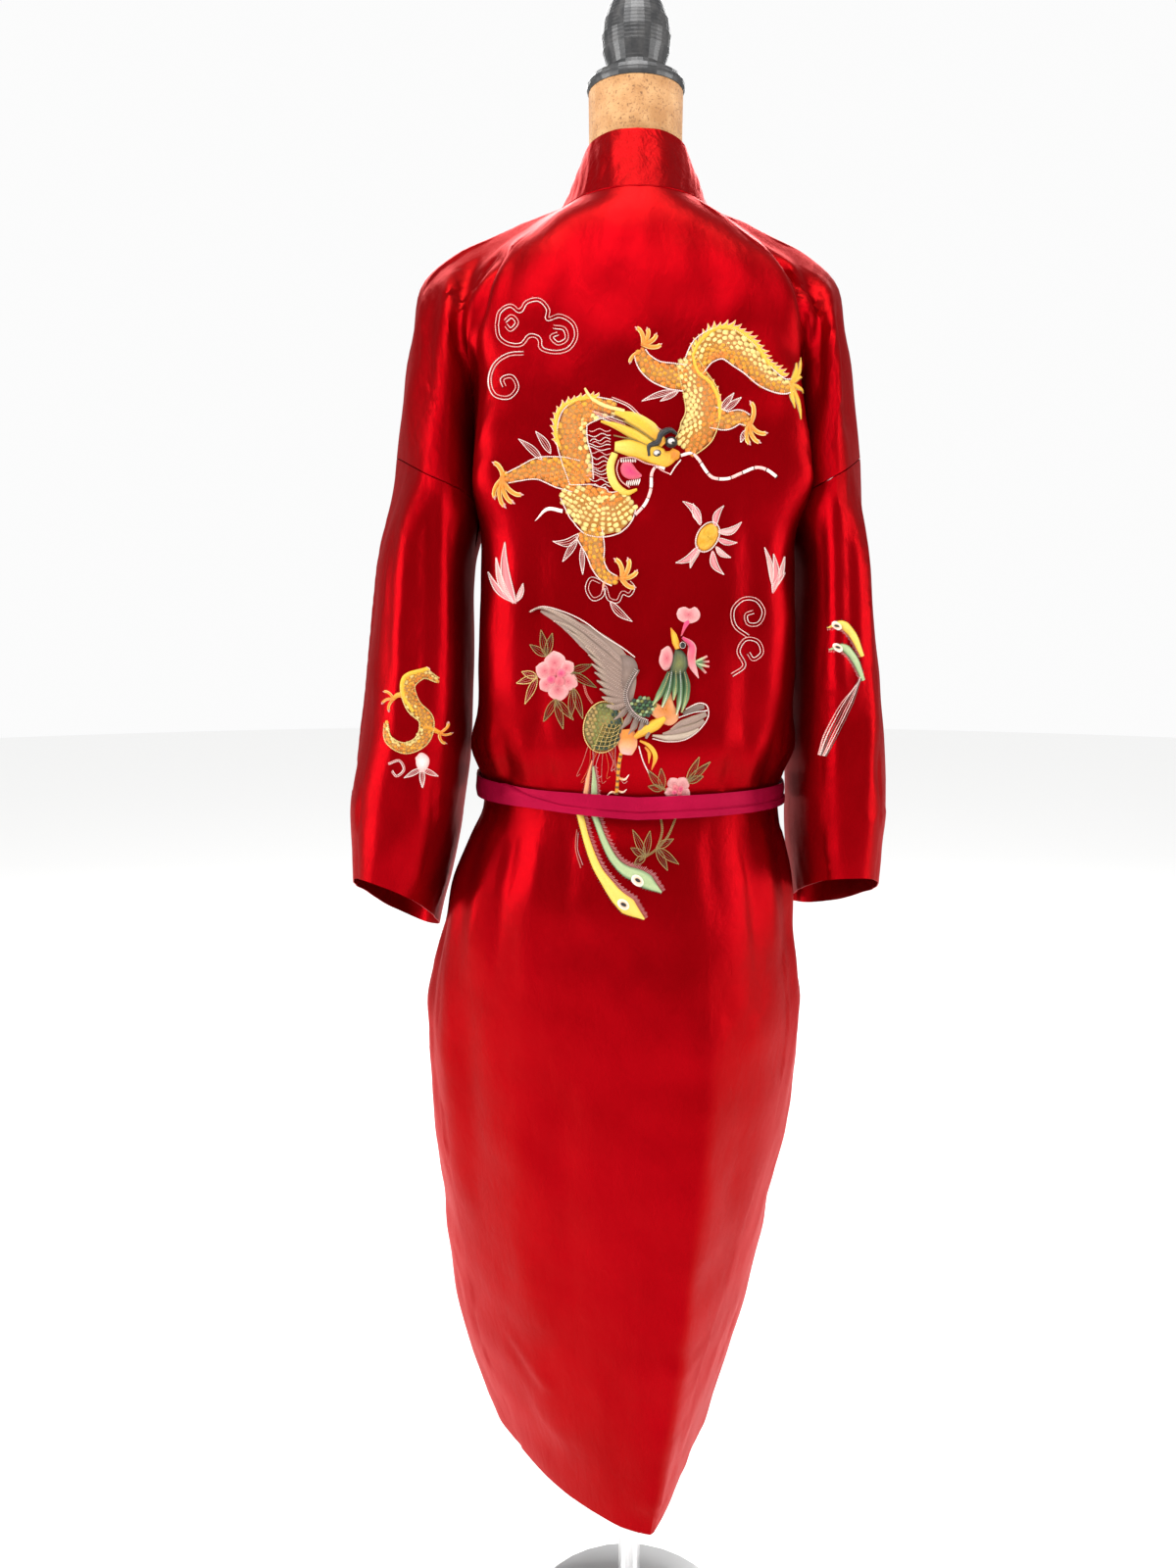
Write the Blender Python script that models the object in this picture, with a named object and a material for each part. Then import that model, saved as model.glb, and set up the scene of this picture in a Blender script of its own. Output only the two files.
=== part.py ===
# A silk kimono robe hanging on a limbless dress form, in metres, +Z up.
# The origin is on the floor under the middle of the stand. The robe's front faces -Y, so its
# embroidered back faces +Y, and the wearer's left is +X. Each cloth piece is a thin wall through
# sections: shoulder rows run out from the neck seam to the drop-shoulder seams and the underarms,
# body rows run from there to the hem, and sleeve rows run from the drop seam to the cuff.
import math
from collections import namedtuple

import bpy
import numpy as np

clothWall = 0.0012          # thickness of one ply of satin with its seam allowance
bandWall = 0.0020           # the collar band is folded double
beltWall = 0.0018           # the belt is a flat tube, pressed
seamGap = 0.0004            # space left between two pieces at a seam
frontLayerGap = 0.0034      # half the space between the two overlapping fronts
bandWidth = 0.052           # collar band, seam to folded edge, down the fronts
beltHalfHeight = 0.0115
beltClear = 0.0052          # from the body cloth's middle to the belt's middle
knotClear = 0.0010
hemZ = 0.225
rightFold = 1.07            # the right back fold lies this much farther out than the left one
rightWing = 0.945           # the right shoulder wing is this much narrower

wingColumns = 4             # columns of a wing between valley and shoulder line
torsoColumns = 8            # columns of a panel between centre and side
lapColumns = 3              # further columns of a front, past the centre
bandColumns = 2
rowLength = 0.075           # longest step between two rows of a panel
sleeveColumns = 4           # in each quarter of a sleeve
sleeveRows = 8
underarmClear = 0.0032      # how far the sleeve's inner side starts off the side seam
sleevePower = 0.90          # 1 is an ellipse, less is squarer
sleeveInnerPower = 0.62     # of a sleeve's inner back quarter, which lies flat against the body
beltZ = 1.0015              # height of the belt's middle at the centre
beltLeftRise, beltRightFall = 0.075, 0.035     # slope of the belt towards each side
beltRingZ = 1.015           # the body ring that the belt follows
beltRingSegments = 14       # in each quarter
tailTop = 0.9805            # where the ends leave the knot
tailHalfWidth = 0.0115
tailClear = 0.0125          # from the front cloth's middle to an end's middle
tailSegments = 14

# One row runs from the middle of the back (or front) out to the shoulder line: the fold is where
# the flat of the back turns forward, the valley is the trough between body and arm, the ridge is
# the arm side's own crest. Depths are distances from the shoulder line's plane, y = 0.
ShoulderRow = namedtuple("ShoulderRow", "backY backZ frontY frontZ foldX foldIn valleyX valleyY"
                         " valleyDrop ridgeX ridgeY outerX outerZ")
shoulderRows = [
    ShoulderRow(0.090, 1.589, 0.070, 1.578, 0.050, 0.024, 0.063, 0.042, 0.000, 0.071, 0.020, 0.073, 1.599),
    ShoulderRow(0.106, 1.560, 0.090, 1.550, 0.076, 0.022, 0.092, 0.056, 0.000, 0.102, 0.029, 0.107, 1.587),
    ShoulderRow(0.116, 1.525, 0.106, 1.516, 0.103, 0.018, 0.122, 0.071, 0.000, 0.135, 0.040, 0.143, 1.572),
    ShoulderRow(0.122, 1.482, 0.117, 1.474, 0.122, 0.013, 0.149, 0.086, 0.001, 0.169, 0.056, 0.184, 1.553),
    ShoulderRow(0.125, 1.438, 0.126, 1.432, 0.132, 0.011, 0.160, 0.082, 0.006, 0.190, 0.080, 0.219, 1.520),
    ShoulderRow(0.126, 1.396, 0.132, 1.392, 0.140, 0.008, 0.162, 0.062, 0.012, 0.196, 0.098, 0.228, 1.468),
    ShoulderRow(0.126, 1.356, 0.135, 1.352, 0.147, 0.007, 0.162, 0.034, 0.019, 0.199, 0.110, 0.238, 1.408),
    ShoulderRow(0.126, 1.316, 0.136, 1.312, 0.152, 0.007, 0.157, 0.000, 0.025, 0.200, 0.117, 0.245, 1.351),
]
foldRise, valleyRise, ridgeRise = 0.08, 0.25, 0.50      # share of the way up to the shoulder line

# One row is a level ring of the body. The back point is the crest of the long fold that runs down
# the skirt; fullness 2 is an ellipse's quarter, more is squarer and 1 is a straight face.
BodyRow = namedtuple("BodyRow", "z leftX rightX backX backY leftY rightY frontX frontY"
                     " fullLeft fullRight fullFront")
bodyRows = [
    BodyRow(1.270, 0.155, 0.159, 0.000, 0.126, 0.000, 0.000, 0.00, -0.136, 5.2, 5.2, 3.2),
    BodyRow(1.180, 0.158, 0.161, 0.000, 0.126, 0.000, 0.000, 0.00, -0.131, 4.8, 4.8, 3.0),
    BodyRow(1.090, 0.161, 0.161, 0.000, 0.125, 0.000, 0.000, 0.00, -0.125, 4.0, 4.0, 2.8),
    BodyRow(1.056, 0.1665, 0.163, 0.000, 0.1255, 0.000, 0.000, 0.00, -0.1255, 3.2, 3.2, 2.6),
    BodyRow(1.026, 0.1605, 0.155, 0.000, 0.1148, 0.000, 0.000, 0.00, -0.1175, 2.6, 2.6, 2.3),
    BodyRow(0.988, 0.1600, 0.154, 0.000, 0.1140, 0.000, 0.000, 0.00, -0.1170, 2.5, 2.5, 2.3),
    BodyRow(0.958, 0.1730, 0.158, 0.000, 0.1220, 0.000, 0.000, 0.00, -0.1245, 2.4, 2.4, 2.3),
    BodyRow(0.920, 0.190, 0.167, -0.010, 0.129, 0.000, 0.000, 0.00, -0.133, 2.3, 2.2, 2.2),
    BodyRow(0.860, 0.206, 0.174, -0.034, 0.134, -0.014, -0.012, 0.00, -0.147, 2.2, 2.0, 2.2),
    BodyRow(0.760, 0.228, 0.190, -0.060, 0.134, -0.044, -0.037, 0.00, -0.168, 2.1, 1.7, 2.1),
    BodyRow(0.650, 0.231, 0.190, -0.062, 0.131, -0.075, -0.064, 0.01, -0.192, 2.0, 1.5, 2.0),
    BodyRow(0.540, 0.226, 0.177, -0.055, 0.128, -0.105, -0.092, 0.01, -0.218, 1.9, 1.4, 2.0),
    BodyRow(0.430, 0.220, 0.162, -0.044, 0.125, -0.137, -0.122, 0.02, -0.243, 1.8, 1.3, 2.0),
    BodyRow(0.330, 0.213, 0.148, -0.032, 0.123, -0.165, -0.152, 0.02, -0.264, 1.65, 1.2, 2.0),
    BodyRow(hemZ, 0.192, 0.130, -0.018, 0.122, -0.200, -0.190, 0.03, -0.285, 1.5, 1.1, 2.0),
]

# Where the left front's seamed edge crosses each height; the right one mirrors it underneath.
EdgeRow = namedtuple("EdgeRow", "z x")
edgeRows = [
    EdgeRow(1.600, 0.070), EdgeRow(1.560, 0.066), EdgeRow(1.500, 0.057), EdgeRow(1.430, 0.041),
    EdgeRow(1.350, 0.017), EdgeRow(1.250, -0.017), EdgeRow(1.130, -0.050), EdgeRow(1.010, -0.074),
    EdgeRow(0.600, -0.074), EdgeRow(0.200, -0.050),
]

# One row is a ring of a sleeve: the tilts lift its outer side and its back.
SleeveRow = namedtuple("SleeveRow", "z centreX halfX backY frontY tiltX tiltY")
sleeveTables = {
    "left": [
        SleeveRow(1.250, 0.2130, 0.0440, 0.124, 0.124, 0.20, 0.00),
        SleeveRow(1.150, 0.2210, 0.0490, 0.127, 0.127, 0.20, 0.05),
        SleeveRow(1.050, 0.2295, 0.0520, 0.129, 0.130, 0.25, 0.12),
        SleeveRow(0.970, 0.2425, 0.0520, 0.130, 0.131, 0.32, 0.22),
        SleeveRow(0.880, 0.2545, 0.0400, 0.128, 0.130, 0.40, 0.37),
    ],
    "right": [
        SleeveRow(1.250, 0.2005, 0.0330, 0.122, 0.124, 0.12, 0.00),
        SleeveRow(1.150, 0.2065, 0.0385, 0.125, 0.127, 0.08, 0.05),
        SleeveRow(1.050, 0.2130, 0.0435, 0.128, 0.130, 0.04, 0.12),
        SleeveRow(0.970, 0.2155, 0.0440, 0.128, 0.131, 0.02, 0.20),
        SleeveRow(0.893, 0.2170, 0.0380, 0.127, 0.130, 0.00, 0.32),
    ],
}

# The collar band around the neck, from the middle of the back to where it starts down the front.
CollarRow = namedtuple("CollarRow", "seamX seamY seamZ edgeX edgeY edgeZ")
collarRows = [
    CollarRow(0.000, 0.0900, 1.5895, 0.000, 0.0560, 1.6540),
    CollarRow(0.026, 0.0850, 1.5905, 0.023, 0.0530, 1.6530),
    CollarRow(0.050, 0.0660, 1.5935, 0.042, 0.0400, 1.6490),
    CollarRow(0.063, 0.0420, 1.5970, 0.051, 0.0220, 1.6430),
    CollarRow(0.071, 0.0180, 1.5990, 0.055, 0.0020, 1.6360),
    CollarRow(0.0735, 0.0000, 1.5992, 0.055, -0.0180, 1.6280),
    CollarRow(0.0718, -0.0180, 1.5905, 0.051, -0.0340, 1.6160),
]

# The dress form: half width, back and front depth of its level rings, from its underside up.
FormRow = namedtuple("FormRow", "z halfX backY frontY fullness")
formRows = [
    FormRow(0.880, 0.120, 0.085, 0.085, 2.2), FormRow(0.900, 0.136, 0.094, 0.094, 2.2),
    FormRow(0.970, 0.142, 0.097, 0.096, 2.2), FormRow(1.060, 0.134, 0.092, 0.090, 2.2),
    FormRow(1.170, 0.118, 0.084, 0.086, 2.2), FormRow(1.270, 0.130, 0.096, 0.104, 2.3),
    FormRow(1.360, 0.142, 0.107, 0.116, 2.4), FormRow(1.430, 0.150, 0.109, 0.108, 2.4),
    FormRow(1.490, 0.162, 0.102, 0.090, 2.3), FormRow(1.520, 0.164, 0.092, 0.074, 2.2),
    FormRow(1.540, 0.148, 0.082, 0.060, 2.1), FormRow(1.560, 0.112, 0.070, 0.050, 2.0),
    FormRow(1.580, 0.074, 0.058, 0.048, 2.0), FormRow(1.600, 0.053, 0.050, 0.048, 2.0),
    FormRow(1.630, 0.0465, 0.0465, 0.0465, 2.0), FormRow(1.7077, 0.0475, 0.0475, 0.0475, 2.0),
]
formSegments = 36

# Turned profiles, radius and height, from the bottom up.
ProfileRow = namedtuple("ProfileRow", "radius z")
finialProfile = [
    ProfileRow(0.0480, 1.7080), ProfileRow(0.0492, 1.7110), ProfileRow(0.0492, 1.7150),
    ProfileRow(0.0470, 1.7190), ProfileRow(0.0380, 1.7225), ProfileRow(0.0300, 1.7260),
    ProfileRow(0.0285, 1.7310), ProfileRow(0.0300, 1.7370), ProfileRow(0.0335, 1.7470),
    ProfileRow(0.0350, 1.7600), ProfileRow(0.0335, 1.7740), ProfileRow(0.0285, 1.7880),
    ProfileRow(0.0225, 1.7985), ProfileRow(0.0140, 1.8070), ProfileRow(0.0050, 1.8105),
]
baseProfile = [
    ProfileRow(0.1220, 0.0000), ProfileRow(0.1250, 0.0030), ProfileRow(0.1250, 0.0080),
    ProfileRow(0.1210, 0.0115), ProfileRow(0.0300, 0.0160), ProfileRow(0.0240, 0.0220),
    ProfileRow(0.0230, 0.0400),
]
poleRadius = 0.0125
poleBottom = 0.0403
poleTop = 0.8797
roundSegments = 32

# Colour, roughness and metallic value of each material.
materials = {
    "red_satin": ((0.62, 0.004, 0.010, 1.0), 0.38, 0.0),
    "crimson_belt_satin": ((0.38, 0.010, 0.035, 1.0), 0.55, 0.0),
    "tan_linen": ((0.56, 0.35, 0.18, 1.0), 0.90, 0.0),
    "black_turned_wood": ((0.012, 0.012, 0.012, 1.0), 0.45, 0.0),
    "brushed_steel": ((0.60, 0.60, 0.60, 1.0), 0.35, 1.0),
}


def clearScene():
    for thing in list(bpy.data.objects):
        bpy.data.objects.remove(thing, do_unlink=True)


def makeMaterial(name):
    colour, roughness, metallic = materials[name]
    material = bpy.data.materials.get(name) or bpy.data.materials.new(name)
    material.use_nodes = True
    shader = material.node_tree.nodes["Principled BSDF"]
    shader.inputs["Base Color"].default_value = colour
    shader.inputs["Roughness"].default_value = roughness
    shader.inputs["Metallic"].default_value = metallic
    material.diffuse_color = colour
    return material


def addObject(name, vertices, faces, materialName):
    mesh = bpy.data.meshes.new(name)
    mesh.from_pydata([tuple(v) for v in vertices], [], [tuple(f) for f in faces])
    mesh.validate()
    mesh.shade_smooth()
    mesh.set_sharp_from_angle(angle=math.radians(40))
    mesh.materials.append(makeMaterial(materialName))
    thing = bpy.data.objects.new(name, mesh)
    bpy.context.scene.collection.objects.link(thing)
    return thing


# Cubic curve through values at knots, with tangents from the neighbours' differences.
def throughPoints(knots, values, at):
    knots = np.asarray(knots, float)
    values = np.asarray(values, float)
    at = np.clip(np.asarray(at, float), knots[0], knots[-1])
    shape = (-1,) + (1,) * (values.ndim - 1)
    step = np.diff(knots).reshape(shape)
    slope = np.diff(values, axis=0) / step
    tangent = np.empty_like(values)
    tangent[0], tangent[-1] = slope[0], slope[-1]
    tangent[1:-1] = (slope[:-1] * step[1:] + slope[1:] * step[:-1]) / (step[:-1] + step[1:])
    i = np.clip(np.searchsorted(knots, at, side="right") - 1, 0, len(knots) - 2)
    width = step[i]
    t = (at.reshape(shape) - knots[i].reshape(shape)) / width
    return ((2 * t**3 - 3 * t**2 + 1) * values[i] + (t**3 - 2 * t**2 + t) * width * tangent[i]
            + (3 * t**2 - 2 * t**3) * values[i + 1] + (t**3 - t**2) * width * tangent[i + 1])


def lengthAlong(points):
    return np.concatenate([[0.0], np.cumsum(np.linalg.norm(np.diff(points, axis=0), axis=1))])


# Points at equal lengths along a dense line.
def evenly(points, count):
    along = lengthAlong(points)
    at = np.linspace(0.0, along[-1], count)
    return np.stack([np.interp(at, along, points[:, k]) for k in range(3)], axis=1)


def smoothLine(stations, count=240):
    stations = np.asarray(stations, float)
    knots = np.concatenate([[0.0], np.cumsum(np.sqrt(np.linalg.norm(np.diff(stations, axis=0), axis=1)))])
    return throughPoints(knots, stations, np.linspace(0.0, knots[-1], count))


# One shoulder row on one side, from the centre to the shoulder line: torso part, then wing part.
def shoulderLine(row, side, face):
    sign = 1.0 if side == "left" else -1.0
    fold = 1.0 if side == "left" else rightFold
    wing = 1.0 if side == "left" else rightWing
    blend = min(1.0, max(0.0, (row.outerX - 0.073) / 0.10))
    fold = 1.0 + (fold - 1.0) * blend
    wing = 1.0 + (wing - 1.0) * blend
    depth, low = (row.backY, row.backZ) if face == "back" else (row.frontY, row.frontZ)
    facing = 1.0 if face == "back" else -1.0
    rise = row.outerZ - low
    foldY = depth - row.foldIn
    centre = (0.0, depth, low)
    mirror = (-0.5 * row.foldX, depth - 0.2 * row.foldIn, low)
    blade = (0.5 * row.foldX * fold, depth - 0.2 * row.foldIn, low + 0.3 * foldRise * rise)
    foldPoint = (row.foldX * fold, foldY, low + foldRise * rise)
    valleyX = row.valleyX * wing + (0.006 * blend if side == "right" else 0.0)
    valley = (valleyX, row.valleyY, low + valleyRise * rise - row.valleyDrop)
    ridge = (row.ridgeX * wing, row.ridgeY, low + ridgeRise * rise - 0.5 * row.valleyDrop)
    outer = (row.outerX * wing, 0.0, row.outerZ)
    beyond = (row.ridgeX * wing, -row.ridgeY, ridge[2])
    turn = np.array([sign, facing, 1.0])
    stations = np.array([mirror, centre, blade, foldPoint, valley, ridge, outer, beyond]) * turn
    line = smoothLine(stations, 560)
    first, split, last = (np.argmin(np.linalg.norm(line - stations[k], axis=1)) for k in (1, 4, 6))
    line[[first, split, last]] = stations[[1, 4, 6]]
    return line[first:split + 1], line[split:last + 1]


# A quarter of a body ring, from the middle of the back or front out to the side.
def bodyQuarter(row, side, face):
    sideX = row.leftX if side == "left" else -row.rightX
    sideY = row.leftY if side == "left" else row.rightY
    middleX, middleY = (row.backX, row.backY) if face == "back" else (row.frontX, row.frontY)
    if face == "front":
        fullness = row.fullFront
    else:
        fullness = row.fullLeft if side == "left" else row.fullRight
    t = np.linspace(0.0, math.pi / 2, 241)
    x = middleX + (sideX - middleX) * np.sin(t)**(2.0 / fullness)
    y = sideY + (middleY - sideY) * np.cos(t)**(2.0 / fullness)
    return np.stack([x, y, np.full_like(t, row.z)], axis=1)


# The body's rows on one face and side as a grid, centre to side, and its wing, valley to shoulder.
def faceGrids(side, face, torsoCount, wingCount, longest):
    torso, wing, knots = [], [], []
    for row in shoulderRows:
        body, arm = shoulderLine(row, side, face)
        torso.append(evenly(body, torsoCount + 1))
        wing.append(evenly(arm, wingCount + 1))
    for row in bodyRows:
        torso.append(evenly(bodyQuarter(row, side, face), torsoCount + 1))
    torso, wing = np.array(torso), np.array(wing)
    knots = rowKnots()
    at, upperCount = rowPlaces(knots, longest)
    torso = throughPoints(knots, torso, at)
    wing = throughPoints(knots[:len(shoulderRows)], wing, at[:upperCount + 1])
    return torso, wing


# Length down the middle of the back at each section.
def rowKnots():
    middle = [(row.backY, row.backZ) for row in shoulderRows] + [(row.backY, row.z) for row in bodyRows]
    return np.concatenate([[0.0], np.cumsum([math.dist(a, b) for a, b in zip(middle, middle[1:])])])


# Every section is a row, with even steps between; the second value is the underarm's row.
def rowPlaces(knots, longest):
    places = [knots[:1]]
    for k, (low, high) in enumerate(zip(knots, knots[1:])):
        steps = max(2 if k < len(shoulderRows) - 1 else 1, round((high - low) / longest))
        places.append(np.linspace(low, high, steps + 1)[1:])
    return np.concatenate(places), sum(len(p) for p in places[:len(shoulderRows)]) - 1


def normalsOf(grid, closed=False):
    if closed:
        across = np.roll(grid, -1, axis=1) - np.roll(grid, 1, axis=1)
    else:
        across = np.gradient(grid, axis=1)
    normal = np.cross(across, np.gradient(grid, axis=0))
    return normal / np.maximum(np.linalg.norm(normal, axis=2, keepdims=True), 1e-12)


# The whole left or right half of the body: back centre, side, front centre, with shared normals.
# Columns: back torso, back wing, front wing, front torso. Below the underarm the wings are empty.
class HalfBody:
    def __init__(self, side, torsoCount, wingCount, longest):
        backTorso, backWing = faceGrids(side, "back", torsoCount, wingCount, longest)
        frontTorso, frontWing = faceGrids(side, "front", torsoCount, wingCount, longest)
        upperCount = len(backWing) - 1
        self.upperCount = upperCount
        outward = 1.0 if side == "left" else -1.0
        upper = np.concatenate([backTorso[:upperCount + 1], backWing[:, 1:], frontWing[:, -2::-1],
                                frontTorso[:upperCount + 1, -2::-1]], axis=1)
        lower = np.concatenate([backTorso[upperCount:], frontTorso[upperCount:, -2::-1]], axis=1)
        upperNormal = outward * normalsOf(upper)
        lowerNormal = outward * normalsOf(lower)
        last = torsoCount + wingCount
        self.backTorso, self.backWing = backTorso, backWing
        self.frontTorso, self.frontWing = frontTorso, frontWing
        self.backTorsoNormal = np.concatenate([upperNormal[:-1, :torsoCount + 1],
                                               lowerNormal[:, :torsoCount + 1]])
        self.backWingNormal = upperNormal[:, torsoCount:last + 1]
        self.frontWingNormal = upperNormal[:, last:last + wingCount + 1][:, ::-1]
        self.frontTorsoNormal = np.concatenate([upperNormal[:-1, last + wingCount:][:, ::-1],
                                                lowerNormal[:, torsoCount:][:, ::-1]])


# Each quad as two triangles, cut along its shorter diagonal.
def splitQuads(quads, points):
    corners = points.reshape(-1, 3)[quads]
    first = np.linalg.norm(corners[:, 0] - corners[:, 2], axis=1)
    second = np.linalg.norm(corners[:, 1] - corners[:, 3], axis=1)
    quads = np.where((second < first)[:, None], np.roll(quads, -1, axis=1), quads)
    return np.concatenate([quads[:, [0, 1, 2]], quads[:, [0, 2, 3]]])


# A closed wall about a grid of points: both faces and the rim. cells says which quads are cloth.
# Both faces are cut along the same diagonals, so that they never pass through each other.
def wallMesh(points, normals, thickness, cells=None, closed=False, flip=False):
    rows, columns = points.shape[:2]
    index = np.arange(rows * columns).reshape(rows, columns)
    if closed:
        index = np.hstack([index, index[:, :1]])
    quads = np.stack([index[:-1, :-1], index[1:, :-1], index[1:, 1:], index[:-1, 1:]], axis=2)
    quads = quads[cells] if cells is not None else quads.reshape(-1, 4)
    if flip:
        quads = quads[:, ::-1]
    total = rows * columns
    edges = np.concatenate([quads[:, [k, (k + 1) % 4]] for k in range(4)])
    key = edges[:, 0] * total + edges[:, 1]
    back = edges[:, 1] * total + edges[:, 0]
    rim = edges[~np.isin(key, back)]
    rimFirst = np.stack([rim[:, 1], rim[:, 0], rim[:, 0] + total], axis=1)
    rimSecond = np.stack([rim[:, 1], rim[:, 0] + total, rim[:, 1] + total], axis=1)
    triangles = splitQuads(quads, points)
    faces = np.concatenate([triangles, triangles[:, ::-1] + total, rimFirst, rimSecond])
    outer = points + 0.5 * thickness * normals
    inner = points - 0.5 * thickness * normals
    vertices = np.concatenate([outer.reshape(-1, 3), inner.reshape(-1, 3)])
    used, faces = np.unique(faces, return_inverse=True)
    return vertices[used], faces.reshape(-1, 3)


# Moves the first or last column, or row, back from its seam along the cloth.
def trimColumn(points, column, inside, gap):
    step = points[:, inside] - points[:, column]
    length = np.maximum(np.linalg.norm(step, axis=1, keepdims=True), 1e-9)
    points[:, column] += step / length * gap


def trimRow(points, row, inside, gap):
    step = points[inside] - points[row]
    length = np.maximum(np.linalg.norm(step, axis=1, keepdims=True), 1e-9)
    points[row] += step / length * gap


def buildBack(left, right):
    torso = np.concatenate([left.backTorso[:, ::-1], right.backTorso[:, 1:]], axis=1)
    torsoNormal = np.concatenate([left.backTorsoNormal[:, ::-1], right.backTorsoNormal[:, 1:]], axis=1)
    rows, columns = torso.shape[0], torso.shape[1]
    points = np.zeros((rows, columns + 2 * wingColumns, 3))
    normals = np.zeros_like(points)
    points[:, wingColumns:-wingColumns] = torso
    normals[:, wingColumns:-wingColumns] = torsoNormal
    underarm = left.upperCount
    upper = underarm + 1
    points[:upper, :wingColumns] = left.backWing[:, :0:-1]
    normals[:upper, :wingColumns] = left.backWingNormal[:, :0:-1]
    points[:upper, -wingColumns:] = right.backWing[:, 1:]
    normals[:upper, -wingColumns:] = right.backWingNormal[:, 1:]
    trimColumn(points[:upper], 0, 1, seamGap / 2)
    trimColumn(points[:upper], -1, -2, seamGap / 2)
    trimColumn(points[underarm:], wingColumns, wingColumns + 1, seamGap / 2)
    trimColumn(points[underarm:], -wingColumns - 1, -wingColumns - 2, seamGap / 2)
    trimRow(points[:upper, :wingColumns], -1, -2, seamGap)
    trimRow(points[:upper, -wingColumns:], -1, -2, seamGap)
    trimRow(points, 0, 1, seamGap)
    cells = np.ones((rows - 1, points.shape[1] - 1), bool)
    cells[underarm:, :wingColumns] = False
    cells[underarm:, -wingColumns:] = False
    vertices, faces = wallMesh(points, normals, clothWall, cells)
    addObject("back_panel", vertices, faces, "red_satin")


def edgeAt(z):
    table = np.array(edgeRows)[::-1]
    return throughPoints(table[:, 0], table[:, 1:], np.atleast_1d(z))[:, 0]


# A front's whole row, from its own side past the middle to the other side's quarter.
def frontRows(own, other):
    line = np.concatenate([own.frontTorso[:, ::-1], other.frontTorso[:, 1:]], axis=1)
    normal = np.concatenate([own.frontTorsoNormal[:, ::-1], other.frontTorsoNormal[:, 1:]], axis=1)
    return line, normal


# Cuts each row where it crosses the front edge, and spreads count + 1 points from the side to there.
def cutRows(line, normal, edgeX, sign, count):
    points = np.zeros((len(line), count + 1, 3))
    normals = np.zeros_like(points)
    for k in range(len(line)):
        along = lengthAlong(line[k])
        crossing = np.interp(-sign * edgeX[k], -sign * line[k, :, 0], along)
        at = np.linspace(0.0, crossing, count + 1)
        for axis in range(3):
            points[k, :, axis] = np.interp(at, along, line[k, :, axis])
            normals[k, :, axis] = np.interp(at, along, normal[k, :, axis])
    normals /= np.linalg.norm(normals, axis=2, keepdims=True)
    return points, normals


# How far a front stands off the shared surface: the left one lies over the right one from the
# neck's foot down, and both meet the back on that surface at their sides. share runs side to edge.
def layerLift(points, sign, share):
    reach = np.clip(share / 0.4, 0.0, 1.0)
    below = np.clip((1.56 - points[..., 2]) / 0.06, 0.0, 1.0)
    return (sign * frontLayerGap * reach * reach * (3 - 2 * reach) * below)[..., None]


def frontEdgeX(rowPoints, sign):
    height = rowPoints[:, rowPoints.shape[1] // 2, 2]
    return sign * edgeAt(height)


def buildFront(name, own, other, sign):
    line, normal = frontRows(own, other)
    count = torsoColumns + lapColumns
    edgeX = frontEdgeX(line, sign)
    torso, torsoNormal = cutRows(line, normal, edgeX, sign, count)
    rows = len(torso)
    underarm = own.upperCount
    upper = underarm + 1
    share = np.linspace(0.0, 1.0, count + 1)
    points = np.zeros((rows, wingColumns + count + 1, 3))
    normals = np.zeros_like(points)
    points[:, wingColumns:] = torso + layerLift(torso, sign, share) * torsoNormal
    normals[:, wingColumns:] = torsoNormal
    points[:upper, :wingColumns] = own.frontWing[:, :0:-1]
    normals[:upper, :wingColumns] = own.frontWingNormal[:, :0:-1]
    trimColumn(points[:upper], 0, 1, seamGap / 2)
    trimColumn(points[underarm:], wingColumns, wingColumns + 1, seamGap / 2)
    trimColumn(points, -1, -2, seamGap / 2)
    trimRow(points[:upper, :wingColumns], -1, -2, seamGap)
    cells = np.ones((rows - 1, points.shape[1] - 1), bool)
    cells[underarm:, :wingColumns] = False
    vertices, faces = wallMesh(points, normals, clothWall, cells, flip=sign > 0)
    addObject(name, vertices, faces, "red_satin")


# A sleeve ring's quarter in the order inner, back, outer, front.
def sleeveRing(row, side, count):
    sign = 1.0 if side == "left" else -1.0
    angle = np.linspace(0.0, 2 * math.pi, 4 * count, endpoint=False)
    power = np.where((np.cos(angle) > 0) & (np.sin(angle) > 0), sleeveInnerPower, sleevePower)
    x = row.centreX - row.halfX * np.sign(np.cos(angle)) * np.abs(np.cos(angle))**power
    depth = np.where(np.sin(angle) >= 0, row.backY, row.frontY)
    y = depth * np.sign(np.sin(angle)) * np.abs(np.sin(angle))**power
    z = row.z + row.tiltX * (x - row.centreX) + row.tiltY * y
    return np.stack([sign * x, y, z], axis=1)


def quarterEven(line, count):
    return evenly(line, count + 1)[:-1]


# The drop seam's ring from the wings' last rows, in the sleeve's own order.
def seamRing(backWing, frontWing, count):
    split = backWing.shape[0] // 2
    back, front = backWing, frontWing[::-1]
    return np.concatenate([quarterEven(back[:split + 1], count), quarterEven(back[split:], count),
                           quarterEven(front[:split + 1], count), quarterEven(front[split:], count)])


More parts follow.
